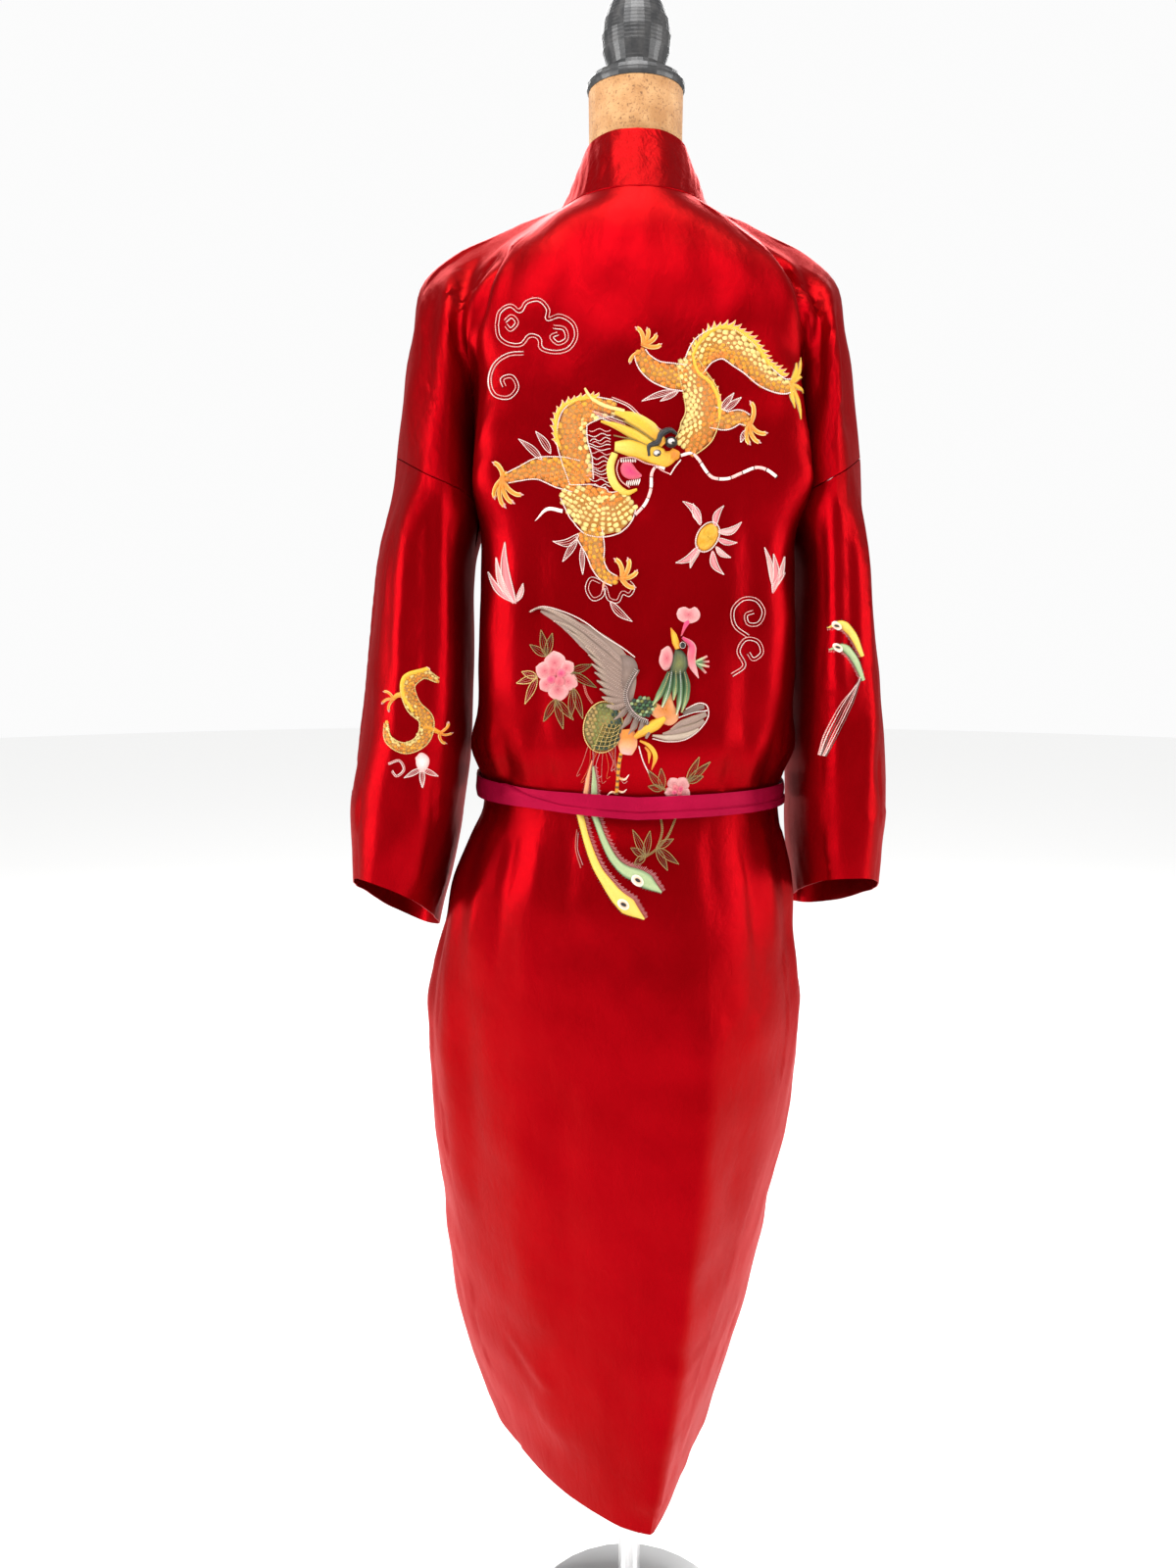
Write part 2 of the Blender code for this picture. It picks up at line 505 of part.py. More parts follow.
def sleeveGrid(side, half, count, rows):
    rings = [seamRing(half.backWing[-2], half.frontWing[-2], count),
             seamRing(half.backWing[-1], half.frontWing[-1], count)]
    rings += [sleeveRing(row, side, count) for row in sleeveTables[side]]
    rings = np.array(rings)
    away = np.exp(-((rings[1] - rings[1][0])**2).sum(axis=1) / 0.03**2)
    rings[1][:, 0] += (1.0 if side == "left" else -1.0) * underarmClear * away
    drop = np.linalg.norm(np.diff(rings.mean(axis=1), axis=0), axis=1)
    knots = np.concatenate([[0.0], np.cumsum(drop)])
    return throughPoints(knots, rings, np.linspace(knots[1], knots[-1], rows + 1))


def buildSleeve(side, half):
    points = sleeveGrid(side, half, sleeveColumns, sleeveRows)
    sign = 1.0 if side == "left" else -1.0
    normals = sign * normalsOf(points, closed=True)
    trimRow(points, 0, 1, 0.5 * seamGap + 0.5 * clothWall)
    vertices, faces = wallMesh(points, normals, clothWall, closed=True, flip=sign > 0)
    addObject("sleeve_" + side, vertices, faces, "red_satin")


# The band on one side, nape to hem: a row of points from its seam to its free edge at each step.
def bandRows(own, other, sign):
    line, normal = frontRows(own, other)
    edgeX = frontEdgeX(line, sign)
    strips = []
    for share in np.linspace(0.0, 1.0, bandColumns + 1):
        cut, out = cutRows(line, normal, edgeX - sign * bandWidth * share, sign, 1)
        strips.append(cut[:, 1] + layerLift(cut[:, 1], sign, np.array(1.0)) * out[:, 1])
    front = np.stack(strips, axis=1)
    share = np.linspace(0.0, 1.0, bandColumns + 1)[None, :, None]
    seam = np.array([(sign * r.seamX, r.seamY, r.seamZ) for r in collarRows])[:, None]
    edge = np.array([(sign * r.edgeX, r.edgeY, r.edgeZ) for r in collarRows])[:, None]
    neck = seam * (1 - share) + edge * share
    freed = 4
    near = [neck[-2, -1], neck[-1, -1], front[freed, -1], front[freed + 1, -1]]
    lying = throughPoints([0, 1, freed + 2, freed + 3], near, np.arange(2, freed + 2))[:, None]
    front[:freed] = front[:freed, :1] * (1 - share) + lying * share
    return np.concatenate([neck, front])


def buildBand(left, right):
    points = np.concatenate([bandRows(left, right, 1.0)[::-1], bandRows(right, left, -1.0)[1:]])
    normals = -normalsOf(points)
    trimColumn(points, 0, 1, seamGap + 0.5 * clothWall)
    vertices, faces = wallMesh(points, normals, bandWall)
    addObject("collar_band", vertices, faces, "red_satin")


# The body's ring at one height, as bodyRows give it, back centre, left, front, right.
def bodyRing(z, count):
    knots = [row.z for row in bodyRows[::-1]]
    quarters = []
    for side, face in (("left", "back"), ("left", "front"), ("right", "front"), ("right", "back")):
        grid = np.array([evenly(bodyQuarter(row, side, face), count + 1) for row in bodyRows[::-1]])
        line = throughPoints(knots, grid, [z])[0]
        outward = (side, face) in (("left", "back"), ("right", "front"))
        quarters.append(line[:-1] if outward else line[:0:-1])
    return np.concatenate(quarters)


def beltHeight(x):
    return beltZ + np.where(x > 0, beltLeftRise, -beltRightFall) * x


def buildBelt():
    ring = bodyRing(beltRingZ, beltRingSegments)
    ahead = np.roll(ring, -1, axis=0) - np.roll(ring, 1, axis=0)
    outward = np.stack([-ahead[:, 1], ahead[:, 0], np.zeros(len(ring))], axis=1)
    outward /= np.linalg.norm(outward, axis=1, keepdims=True)
    outward *= np.sign(np.sum(outward[:, :2] * ring[:, :2], axis=1, keepdims=True))
    over = (frontLayerGap + 0.5 * bandWall) * np.clip((0.01 - ring[:, 1]) / 0.05, 0.0, 1.0)
    ring = ring + outward * (beltClear + over[:, None])
    share = np.linspace(1.0, -1.0, 2)
    points = np.repeat(ring[None], len(share), axis=0)
    points[..., 2] = beltHeight(points[..., 0]) + beltHalfHeight * share[:, None]
    normals = np.repeat(outward[None], len(share), axis=0)
    vertices, faces = wallMesh(points, normals, beltWall, closed=True, flip=True)
    addObject("belt_wrap", vertices, faces, "crimson_belt_satin")
    return ring[:, 1].min() - 0.5 * beltWall


# A rounded knot in front of the belt: an ellipsoid with a waist pinched by the crossing end.
def buildKnot(front):
    depth, width, height = 0.011, 0.021, 0.019
    rings, around = 8, 16
    vertices, faces = [], []
    middle = front - knotClear - depth
    for i in range(1, rings):
        polar = math.pi * i / rings
        for j in range(around):
            turn = 2 * math.pi * j / around
            squeeze = 1.0 - 0.14 * math.cos(2 * turn)**2
            vertices.append((width * math.sin(polar) * math.cos(turn) * squeeze,
                             middle + depth * math.sin(polar) * math.sin(turn),
                             beltZ + height * math.cos(polar)))
    vertices += [(0.0, middle, beltZ + height), (0.0, middle, beltZ - height)]
    top, bottom = len(vertices) - 2, len(vertices) - 1
    for i in range(rings - 2):
        for j in range(around):
            a, b = i * around + j, i * around + (j + 1) % around
            faces.append((a, a + around, b + around, b))
    for j in range(around):
        faces.append((top, j, (j + 1) % around))
        faces.append((bottom, (rings - 2) * around + (j + 1) % around, (rings - 2) * around + j))
    addObject("belt_knot", vertices, faces, "crimson_belt_satin")


# A belt end that hangs from under the knot against the front, sloping out with the skirt.
def buildTail(name, startX, endX, endZ):
    share = np.linspace(0.0, 1.0, tailSegments + 1)
    z = tailTop + (endZ - tailTop) * share
    x = startX + (endX - startX) * share**1.3
    frontY = np.interp(-z, [-row.z for row in bodyRows], [row.frontY for row in bodyRows])
    y = frontY - tailClear - 0.002 * np.sin(5.0 * share)
    across = np.linspace(-1.0, 1.0, 3)
    points = np.zeros((len(share), 3, 3))
    points[..., 0] = x[:, None] + tailHalfWidth * across[None]
    points[..., 1] = y[:, None]
    points[..., 2] = z[:, None]
    normals = normalsOf(points)
    facing = np.sign(normals[..., 1:2])
    vertices, faces = wallMesh(points, normals * -facing, beltWall)
    addObject(name, vertices, faces, "crimson_belt_satin")


# Stacked rings of equal count, closed with a flat face at each end.
def stackMesh(rings):
    count = len(rings[0])
    vertices = [point for ring in rings for point in ring]
    faces = [tuple(range(count))[::-1]]
    for i in range(len(rings) - 1):
        for j in range(count):
            a, b = i * count + j, i * count + (j + 1) % count
            faces.append((a, b, b + count, a + count))
    faces.append(tuple(range((len(rings) - 1) * count, len(rings) * count)))
    return vertices, faces


def formRing(row):
    ring = []
    for j in range(formSegments):
        turn = 2 * math.pi * j / formSegments
        depth = row.backY if math.sin(turn) >= 0 else row.frontY
        power = 2.0 / row.fullness
        ring.append((row.halfX * math.copysign(abs(math.cos(turn))**power, math.cos(turn)),
                     depth * math.copysign(abs(math.sin(turn))**power, math.sin(turn)), row.z))
    return ring


def turnedRing(radius, z):
    return [(radius * math.cos(2 * math.pi * j / roundSegments),
             radius * math.sin(2 * math.pi * j / roundSegments), z) for j in range(roundSegments)]


def buildForm():
    addObject("form_body", *stackMesh([formRing(row) for row in formRows]), "tan_linen")
    finial = [turnedRing(row.radius, row.z) for row in finialProfile]
    addObject("neck_cap_finial", *stackMesh(finial), "black_turned_wood")
    pole = [turnedRing(poleRadius, poleBottom), turnedRing(poleRadius, poleTop)]
    addObject("stand_pole", *stackMesh(pole), "brushed_steel")
    base = [turnedRing(row.radius, row.z) for row in baseProfile]
    addObject("stand_base", *stackMesh(base), "brushed_steel")


def main():
    clearScene()
    left = HalfBody("left", torsoColumns, wingColumns, rowLength)
    right = HalfBody("right", torsoColumns, wingColumns, rowLength)
    buildBack(left, right)
    buildFront("front_left", left, right, 1.0)
    buildFront("front_right", right, left, -1.0)
    buildSleeve("left", left)
    buildSleeve("right", right)
    buildBand(left, right)
    beltFront = buildBelt()
    buildKnot(beltFront)
    buildTail("belt_tail_left", 0.010, 0.020, 0.640)
    buildTail("belt_tail_right", -0.014, -0.030, 0.700)
    buildForm()


main()
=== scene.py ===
# A red silk kimono robe, embroidered on its back, belted on a limbless dress form.
# Metres, +Z up. The robe's back faces +Y and the wearer's left is +X.
import math
from collections import namedtuple

import bpy
import numpy as np
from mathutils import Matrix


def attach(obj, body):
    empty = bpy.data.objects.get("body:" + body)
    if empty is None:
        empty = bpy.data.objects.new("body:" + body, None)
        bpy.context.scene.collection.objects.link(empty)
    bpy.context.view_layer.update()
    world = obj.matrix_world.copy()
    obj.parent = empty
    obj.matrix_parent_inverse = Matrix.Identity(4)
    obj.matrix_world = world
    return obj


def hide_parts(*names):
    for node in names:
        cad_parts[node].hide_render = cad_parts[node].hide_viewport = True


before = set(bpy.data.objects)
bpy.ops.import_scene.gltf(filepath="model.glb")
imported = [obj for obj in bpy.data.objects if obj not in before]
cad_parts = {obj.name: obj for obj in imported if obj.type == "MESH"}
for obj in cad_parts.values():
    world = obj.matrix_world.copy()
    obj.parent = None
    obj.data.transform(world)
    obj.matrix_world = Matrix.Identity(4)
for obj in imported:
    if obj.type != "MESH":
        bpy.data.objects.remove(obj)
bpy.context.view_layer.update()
scene = bpy.context.scene


# Shape functions that every piece shares.

# Cubic Hermite curve through values at knots: tangents are the neighbours' mean slope.
def throughPoints(knots, values, at):
    knots = np.asarray(knots, float)
    values = np.asarray(values, float)
    at = np.clip(np.asarray(at, float), knots[0], knots[-1])
    shape = (-1,) + (1,) * (values.ndim - 1)
    step = np.diff(knots).reshape(shape)
    slope = np.diff(values, axis=0) / step
    tangent = np.empty_like(values)
    tangent[0], tangent[-1] = slope[0], slope[-1]
    tangent[1:-1] = (slope[:-1] * step[1:] + slope[1:] * step[:-1]) / (step[:-1] + step[1:])
    i = np.clip(np.searchsorted(knots, at, side="right") - 1, 0, len(knots) - 2)
    width = step[i]
    t = (at.reshape(shape) - knots[i].reshape(shape)) / width
    return ((2 * t**3 - 3 * t**2 + 1) * values[i] + (t**3 - 2 * t**2 + t) * width * tangent[i]
            + (3 * t**2 - 2 * t**3) * values[i + 1] + (t**3 - t**2) * width * tangent[i + 1])


# Length along a line of points, from 0.
def lengthAlong(points):
    return np.concatenate([[0.0], np.cumsum(np.linalg.norm(np.diff(points, axis=0), axis=1))])


# Points at equal lengths along a dense line.
def evenly(points, count):
    along = lengthAlong(points)
    at = np.linspace(0.0, along[-1], count)
    return np.stack([np.interp(at, along, points[:, k]) for k in range(points.shape[1])], axis=1)


# A smooth dense line through a few stations, knots spaced by the root of their distance.
def smoothLine(stations, count=240):
    stations = np.asarray(stations, float)
    gaps = np.sqrt(np.linalg.norm(np.diff(stations, axis=0), axis=1))
    knots = np.concatenate([[0.0], np.cumsum(gaps)])
    return throughPoints(knots, stations, np.linspace(0.0, knots[-1], count))


# The same line in even steps of about one length.
def stepped(stations, step, least, dense=300):
    line = smoothLine(stations, dense)
    return evenly(line, max(least, int(lengthAlong(line)[-1] / step)))


# Unit steps along a flat line, and those steps turned a quarter to its side.
def headings(line):
    ahead = np.gradient(line, axis=0)
    ahead /= np.maximum(np.linalg.norm(ahead, axis=1, keepdims=True), 1e-9)
    return ahead, np.stack([-ahead[:, 1], ahead[:, 0]], axis=1)


# A few values spread over a count of places, straight between them.
def spread(values, count):
    values = np.asarray(values, float)
    at, known = np.linspace(0, 1, count), np.linspace(0, 1, len(values))
    if values.ndim == 1:
        return np.interp(at, known, values)
    return np.stack([np.interp(at, known, column) for column in values.T], axis=1)


# 0 below 0, 1 above 1, 3t^2 - 2t^3 between.
def smoothStep(t):
    t = np.clip(t, 0.0, 1.0)
    return t * t * (3 - 2 * t)


# Unit normals of a grid: the cross product of its steps across and down.
def normalsOf(grid, closed=False):
    if closed:
        across = np.roll(grid, -1, axis=1) - np.roll(grid, 1, axis=1)
    else:
        across = np.gradient(grid, axis=1)
    normal = np.cross(across, np.gradient(grid, axis=0))
    return normal / np.maximum(np.linalg.norm(normal, axis=2, keepdims=True), 1e-12)


# Uneven heights: seeded random values on a lattice, blended between its points with smoothStep.
def unevenness(first, second, scale, seed):
    size = 97
    values = np.random.default_rng(seed).normal(size=(size, size))
    a, b = first / scale + 11.3, second / scale + 17.9
    i, j = np.floor(a).astype(int), np.floor(b).astype(int)
    s, t = smoothStep(a - i), smoothStep(b - j)
    corner = lambda p, q: values[p % size, q % size]
    return ((corner(i, j) * (1 - s) + corner(i + 1, j) * s) * (1 - t)
            + (corner(i, j + 1) * (1 - s) + corner(i + 1, j + 1) * s) * t)


# Puts arrays of vertices and faces into a mesh object, with a UV map in metres.
def makeMesh(name, vertices, faceSets, uv=None, material=None, colours=None, sharp=50):
    mesh = bpy.data.meshes.new(name)
    loops = np.concatenate([f.reshape(-1) for f in faceSets]).astype(np.int32)
    totals = np.concatenate([np.full(len(f), f.shape[1]) for f in faceSets])
    starts = np.concatenate([[0], np.cumsum(totals)[:-1]]).astype(np.int32)
    mesh.vertices.add(len(vertices))
    mesh.vertices.foreach_set("co", np.asarray(vertices, np.float32).reshape(-1))
    mesh.loops.add(len(loops))
    mesh.loops.foreach_set("vertex_index", loops)
    mesh.polygons.add(len(totals))
    mesh.polygons.foreach_set("loop_start", starts)
    mesh.update(calc_edges=True)
    if uv is not None:
        layer = mesh.uv_layers.new(name="cloth")
        layer.data.foreach_set("uv", np.asarray(uv, np.float32)[loops].reshape(-1))
    if colours is not None:
        attribute = mesh.color_attributes.new("floss", "FLOAT_COLOR", "POINT")
        attribute.data.foreach_set("color", np.asarray(colours, np.float32).reshape(-1))
    mesh.validate()
    mesh.shade_smooth()
    mesh.set_sharp_from_angle(angle=math.radians(sharp))
    thing = bpy.data.objects.new(name, mesh)
    scene.collection.objects.link(thing)
    if material is not None:
        mesh.materials.append(material)
    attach(thing, "root")
    return thing


# UV in metres: length across each row from its own zero column, and length down.
def clothUv(points, zeroColumn=0):
    across = np.cumsum(np.linalg.norm(np.diff(points, axis=1, prepend=points[:, :1]), axis=2), axis=1)
    across -= across[:, zeroColumn:zeroColumn + 1]
    down = np.cumsum(np.linalg.norm(np.diff(points, axis=0, prepend=points[:1]), axis=2), axis=0)
    return np.stack([across, -down], axis=2)


# A thin closed shell about a grid: points +- half the wall along the normals, and the rim.
def addCloth(name, points, normals, wall, material, cells=None, closed=False, flip=False, zeroColumn=0):
    rows, columns = points.shape[:2]
    uv = clothUv(points, zeroColumn)
    index = np.arange(rows * columns).reshape(rows, columns)
    if closed:
        index = np.hstack([index, index[:, :1]])
    quads = np.stack([index[:-1, :-1], index[1:, :-1], index[1:, 1:], index[:-1, 1:]], axis=2)
    quads = quads[cells] if cells is not None else quads.reshape(-1, 4)
    if flip:
        quads = quads[:, ::-1]
    total = rows * columns
    edges = np.concatenate([quads[:, [k, (k + 1) % 4]] for k in range(4)])
    rim = edges[~np.isin(edges[:, 0] * total + edges[:, 1], edges[:, 1] * total + edges[:, 0])]
    rimQuads = np.stack([rim[:, 1], rim[:, 0], rim[:, 0] + total, rim[:, 1] + total], axis=1)
    faces = np.concatenate([quads, quads[:, ::-1] + total, rimQuads])
    outer, inner = points + 0.5 * wall * normals, points - 0.5 * wall * normals
    vertices = np.concatenate([outer.reshape(-1, 3), inner.reshape(-1, 3)])
    coordinates = np.concatenate([uv.reshape(-1, 2), uv.reshape(-1, 2)])
    used, faces = np.unique(faces, return_inverse=True)
    return makeMesh(name, vertices[used], [faces.reshape(-1, 4)], coordinates[used], material)


# Materials, from a few short node helpers.

# A Principled material with its base colour, roughness, metallic and any other socket by name.
def newMaterial(name, colour, roughness, metallic=0.0, sockets=None):
    material = bpy.data.materials.new(name)
    material.use_nodes = True
    material.diffuse_color = (*colour, 1.0)
    shader = material.node_tree.nodes["Principled BSDF"]
    shader.inputs["Base Color"].default_value = (*colour, 1.0)
    shader.inputs["Roughness"].default_value = roughness
    shader.inputs["Metallic"].default_value = metallic
    for socket, value in (sockets or {}).items():
        shader.inputs[socket].default_value = value
    return material


# A node with its settings: sockets by name in inputs, properties by name in the rest.
def node(material, kind, inputs=None, **settings):
    made = material.node_tree.nodes.new(kind)
    for key, value in settings.items():
        setattr(made, key, value)
    for key, value in (inputs or {}).items():
        if isinstance(value, bpy.types.NodeSocket):
            material.node_tree.links.new(value, made.inputs[key])
        else:
            made.inputs[key].default_value = value
    return made


def shaderOf(material):
    return material.node_tree.nodes["Principled BSDF"]


def plug(material, output, socket):
    material.node_tree.links.new(output, shaderOf(material).inputs[socket])


# A pattern's coordinates: object metres, or the cloth UV, scaled along each axis and turned.
def placed(material, scale, useUv=False, turn=(0.0, 0.0, 0.0)):
    coordinates = node(material, "ShaderNodeTexCoord")
    source = coordinates.outputs["UV" if useUv else "Object"]
    return node(material, "ShaderNodeMapping", {"Vector": source, "Scale": scale,
                                                "Rotation": turn}).outputs[0]


def ramp(material, factor, stops):
    made = node(material, "ShaderNodeValToRGB", {"Fac": factor})
    elements = made.color_ramp.elements
    while len(elements) < len(stops):
        elements.new(0.5)
    for element, (position, colour) in zip(elements, stops):
        element.position = position
        element.color = (*colour, 1.0)
    return made.outputs["Color"]


# Noise and straight bands as patterns from 0 to 1, and a value spanned between two others.
def noise(material, where, scale, detail, roughness=0.5, distortion=0.0):
    settings = {"Vector": where, "Scale": scale, "Detail": detail, "Roughness": roughness,
                "Distortion": distortion}
    return node(material, "ShaderNodeTexNoise", settings).outputs["Fac"]


def bands(material, where, scale, distortion, detail, direction):
    settings = {"Vector": where, "Scale": scale, "Distortion": distortion, "Detail": detail}
    made = node(material, "ShaderNodeTexWave", settings, wave_type="BANDS", bands_direction=direction)
    return made.outputs["Fac"]


def spanned(material, value, low, high):
    return node(material, "ShaderNodeMapRange", {"Value": value, "To Min": low,
                                                 "To Max": high}).outputs["Result"]


# A bump of this height in metres, on top of the one under it.
def bumped(material, height, distance, strength=1.0, under=None):
    inputs = {"Height": height, "Distance": distance, "Strength": strength}
    if under is not None:
        inputs["Normal"] = under
    return node(material, "ShaderNodeBump", inputs).outputs["Normal"]


satinLook = {
    "deep": (0.205, 0.0002, 0.0018), "fresh": (0.250, 0.0004, 0.0028), "tint": (1.0, 0.045, 0.040, 1.0),
    "roughness": 0.34, "metallic": 0.72, "anisotropic": 0.45, "gloss": 0.2,
    "floatsPerMetre": 2600.0, "floatHeight": 0.00005,
    "crinkle": 0.0011, "ripple": 0.0016,
}


# Satin: long floats as fine lines down the cloth, faint weft bars, soft ripples and crinkles.
def satin(name, look):
    material = newMaterial(name, look["deep"], look["roughness"], look["metallic"],
                           {"Anisotropic": look["anisotropic"], "Specular IOR Level": look["gloss"],
                            "Specular Tint": look["tint"]})
    cloudy = noise(material, placed(material, (1, 1, 1)), 9.0, 4.0, roughness=0.55)
    plug(material, ramp(material, cloudy, [(0.3, look["deep"]), (0.7, look["fresh"])]), "Base Color")
    ripples = noise(material, placed(material, (1, 1, 0.35)), 26.0, 2.0, roughness=0.45)
    slanted = placed(material, (1, 1, 0.5), turn=(0.0, 0.5, 0.0))
    crinkles = noise(material, slanted, 75.0, 3.0, roughness=0.6, distortion=0.6)
    downCloth = placed(material, (1, 0.02, 1), useUv=True)
    floats = bands(material, downCloth, look["floatsPerMetre"] / 3.1416, 1.2, 1.0, "X")
    normal = bumped(material, ripples, look["ripple"])
    normal = bumped(material, crinkles, look["crinkle"], 0.45, normal)
    normal = bumped(material, floats, look["floatHeight"], 0.5, normal)
    plug(material, normal, "Normal")
    return material


redSatin = satin("redSatin", satinLook)
bandSatin = satin("bandSatin", {**satinLook, "crinkle": 0.0030, "ripple": 0.0052})
beltSatin = satin("beltSatin", {**satinLook, "deep": (0.22, 0.002, 0.022), "fresh": (0.32, 0.004, 0.034),
                                "roughness": 0.5, "metallic": 0.2, "crinkle": 0.0016})


# The robe's sections are the same as the solid parts'.

seamGap, sideSeamGap = 0.0004, 0.00006
clothWall = 0.0009
frontLayerGap = 0.0034
bandWidth = 0.052
hemZ = 0.225
rightFold, rightWing = 1.07, 0.945
torsoColumns, wingColumns, lapColumns, bandColumns = 72, 28, 28, 12
rowLength = 0.0085
sleeveColumns, sleeveRows = 36, 72
underarmClear = 0.0032
sleevePower, sleeveInnerPower = 0.90, 0.62

ShoulderRow = namedtuple("ShoulderRow", "backY backZ frontY frontZ foldX foldIn valleyX valleyY"
                         " valleyDrop ridgeX ridgeY outerX outerZ")
shoulderRows = [
    ShoulderRow(0.090, 1.589, 0.070, 1.578, 0.050, 0.024, 0.063, 0.042, 0.000, 0.071, 0.020, 0.073, 1.599),
    ShoulderRow(0.106, 1.560, 0.090, 1.550, 0.076, 0.022, 0.092, 0.056, 0.000, 0.102, 0.029, 0.107, 1.587),
    ShoulderRow(0.116, 1.525, 0.106, 1.516, 0.103, 0.018, 0.122, 0.071, 0.000, 0.135, 0.040, 0.143, 1.572),
    ShoulderRow(0.122, 1.482, 0.117, 1.474, 0.122, 0.013, 0.149, 0.086, 0.001, 0.169, 0.056, 0.184, 1.553),
    ShoulderRow(0.125, 1.438, 0.126, 1.432, 0.132, 0.011, 0.160, 0.082, 0.006, 0.190, 0.080, 0.219, 1.520),
    ShoulderRow(0.126, 1.396, 0.132, 1.392, 0.140, 0.008, 0.162, 0.062, 0.012, 0.196, 0.098, 0.228, 1.468),
    ShoulderRow(0.126, 1.356, 0.135, 1.352, 0.147, 0.007, 0.162, 0.034, 0.019, 0.199, 0.110, 0.238, 1.408),
    ShoulderRow(0.126, 1.316, 0.136, 1.312, 0.152, 0.007, 0.157, 0.000, 0.025, 0.200, 0.117, 0.245, 1.351),
]
foldRise, valleyRise, ridgeRise = 0.08, 0.25, 0.50

BodyRow = namedtuple("BodyRow", "z leftX rightX backX backY leftY rightY frontX frontY"
                     " fullLeft fullRight fullFront")
bodyRows = [
    BodyRow(1.270, 0.155, 0.159, 0.000, 0.126, 0.000, 0.000, 0.00, -0.136, 5.2, 5.2, 3.2),
    BodyRow(1.180, 0.158, 0.161, 0.000, 0.126, 0.000, 0.000, 0.00, -0.131, 4.8, 4.8, 3.0),
    BodyRow(1.090, 0.161, 0.161, 0.000, 0.125, 0.000, 0.000, 0.00, -0.125, 4.0, 4.0, 2.8),
    BodyRow(1.056, 0.1665, 0.163, 0.000, 0.1255, 0.000, 0.000, 0.00, -0.1255, 3.2, 3.2, 2.6),
    BodyRow(1.026, 0.1605, 0.155, 0.000, 0.1148, 0.000, 0.000, 0.00, -0.1175, 2.6, 2.6, 2.3),
    BodyRow(0.988, 0.1600, 0.154, 0.000, 0.1140, 0.000, 0.000, 0.00, -0.1170, 2.5, 2.5, 2.3),
    BodyRow(0.958, 0.1730, 0.158, 0.000, 0.1220, 0.000, 0.000, 0.00, -0.1245, 2.4, 2.4, 2.3),
    BodyRow(0.920, 0.190, 0.167, -0.010, 0.129, 0.000, 0.000, 0.00, -0.133, 2.3, 2.2, 2.2),
    BodyRow(0.860, 0.206, 0.174, -0.034, 0.134, -0.014, -0.012, 0.00, -0.147, 2.2, 2.0, 2.2),
    BodyRow(0.760, 0.228, 0.190, -0.060, 0.134, -0.044, -0.037, 0.00, -0.168, 2.1, 1.7, 2.1),
    BodyRow(0.650, 0.231, 0.190, -0.062, 0.131, -0.075, -0.064, 0.01, -0.192, 2.0, 1.5, 2.0),
    BodyRow(0.540, 0.226, 0.177, -0.055, 0.128, -0.105, -0.092, 0.01, -0.218, 1.9, 1.4, 2.0),
    BodyRow(0.430, 0.220, 0.162, -0.044, 0.125, -0.137, -0.122, 0.02, -0.243, 1.8, 1.3, 2.0),
    BodyRow(0.330, 0.213, 0.148, -0.032, 0.123, -0.165, -0.152, 0.02, -0.264, 1.65, 1.2, 2.0),
    BodyRow(hemZ, 0.192, 0.130, -0.018, 0.122, -0.200, -0.190, 0.03, -0.285, 1.5, 1.1, 2.0),
]

edgeRows = np.array([
    (0.200, -0.050), (0.600, -0.074), (1.010, -0.074), (1.130, -0.050), (1.250, -0.017),
    (1.350, 0.017), (1.430, 0.041), (1.500, 0.057), (1.560, 0.066), (1.600, 0.070),
])      # z, x of the left front's seamed edge

SleeveRow = namedtuple("SleeveRow", "z centreX halfX backY frontY tiltX tiltY")
sleeveTables = {
    "left": [
        SleeveRow(1.250, 0.2130, 0.0440, 0.124, 0.124, 0.20, 0.00),
        SleeveRow(1.150, 0.2210, 0.0490, 0.127, 0.127, 0.20, 0.05),
        SleeveRow(1.050, 0.2295, 0.0520, 0.129, 0.130, 0.25, 0.12),
        SleeveRow(0.970, 0.2425, 0.0520, 0.130, 0.131, 0.32, 0.22),
        SleeveRow(0.880, 0.2545, 0.0400, 0.128, 0.130, 0.40, 0.37),
    ],
    "right": [
        SleeveRow(1.250, 0.2005, 0.0330, 0.122, 0.124, 0.12, 0.00),
        SleeveRow(1.150, 0.2065, 0.0385, 0.125, 0.127, 0.08, 0.05),
        SleeveRow(1.050, 0.2130, 0.0435, 0.128, 0.130, 0.04, 0.12),
        SleeveRow(0.970, 0.2155, 0.0440, 0.128, 0.131, 0.02, 0.20),
        SleeveRow(0.893, 0.2170, 0.0380, 0.127, 0.130, 0.00, 0.32),
    ],
}

CollarRow = namedtuple("CollarRow", "seamX seamY seamZ edgeX edgeY edgeZ")
collarRows = [
    CollarRow(0.000, 0.0900, 1.5895, 0.000, 0.0560, 1.6540),
    CollarRow(0.026, 0.0850, 1.5905, 0.023, 0.0530, 1.6530),
    CollarRow(0.050, 0.0660, 1.5935, 0.042, 0.0400, 1.6490),
    CollarRow(0.063, 0.0420, 1.5970, 0.051, 0.0220, 1.6430),
    CollarRow(0.071, 0.0180, 1.5990, 0.055, 0.0020, 1.6360),
    CollarRow(0.0735, 0.0000, 1.5992, 0.055, -0.0180, 1.6280),
    CollarRow(0.0718, -0.0180, 1.5905, 0.051, -0.0340, 1.6160),
]


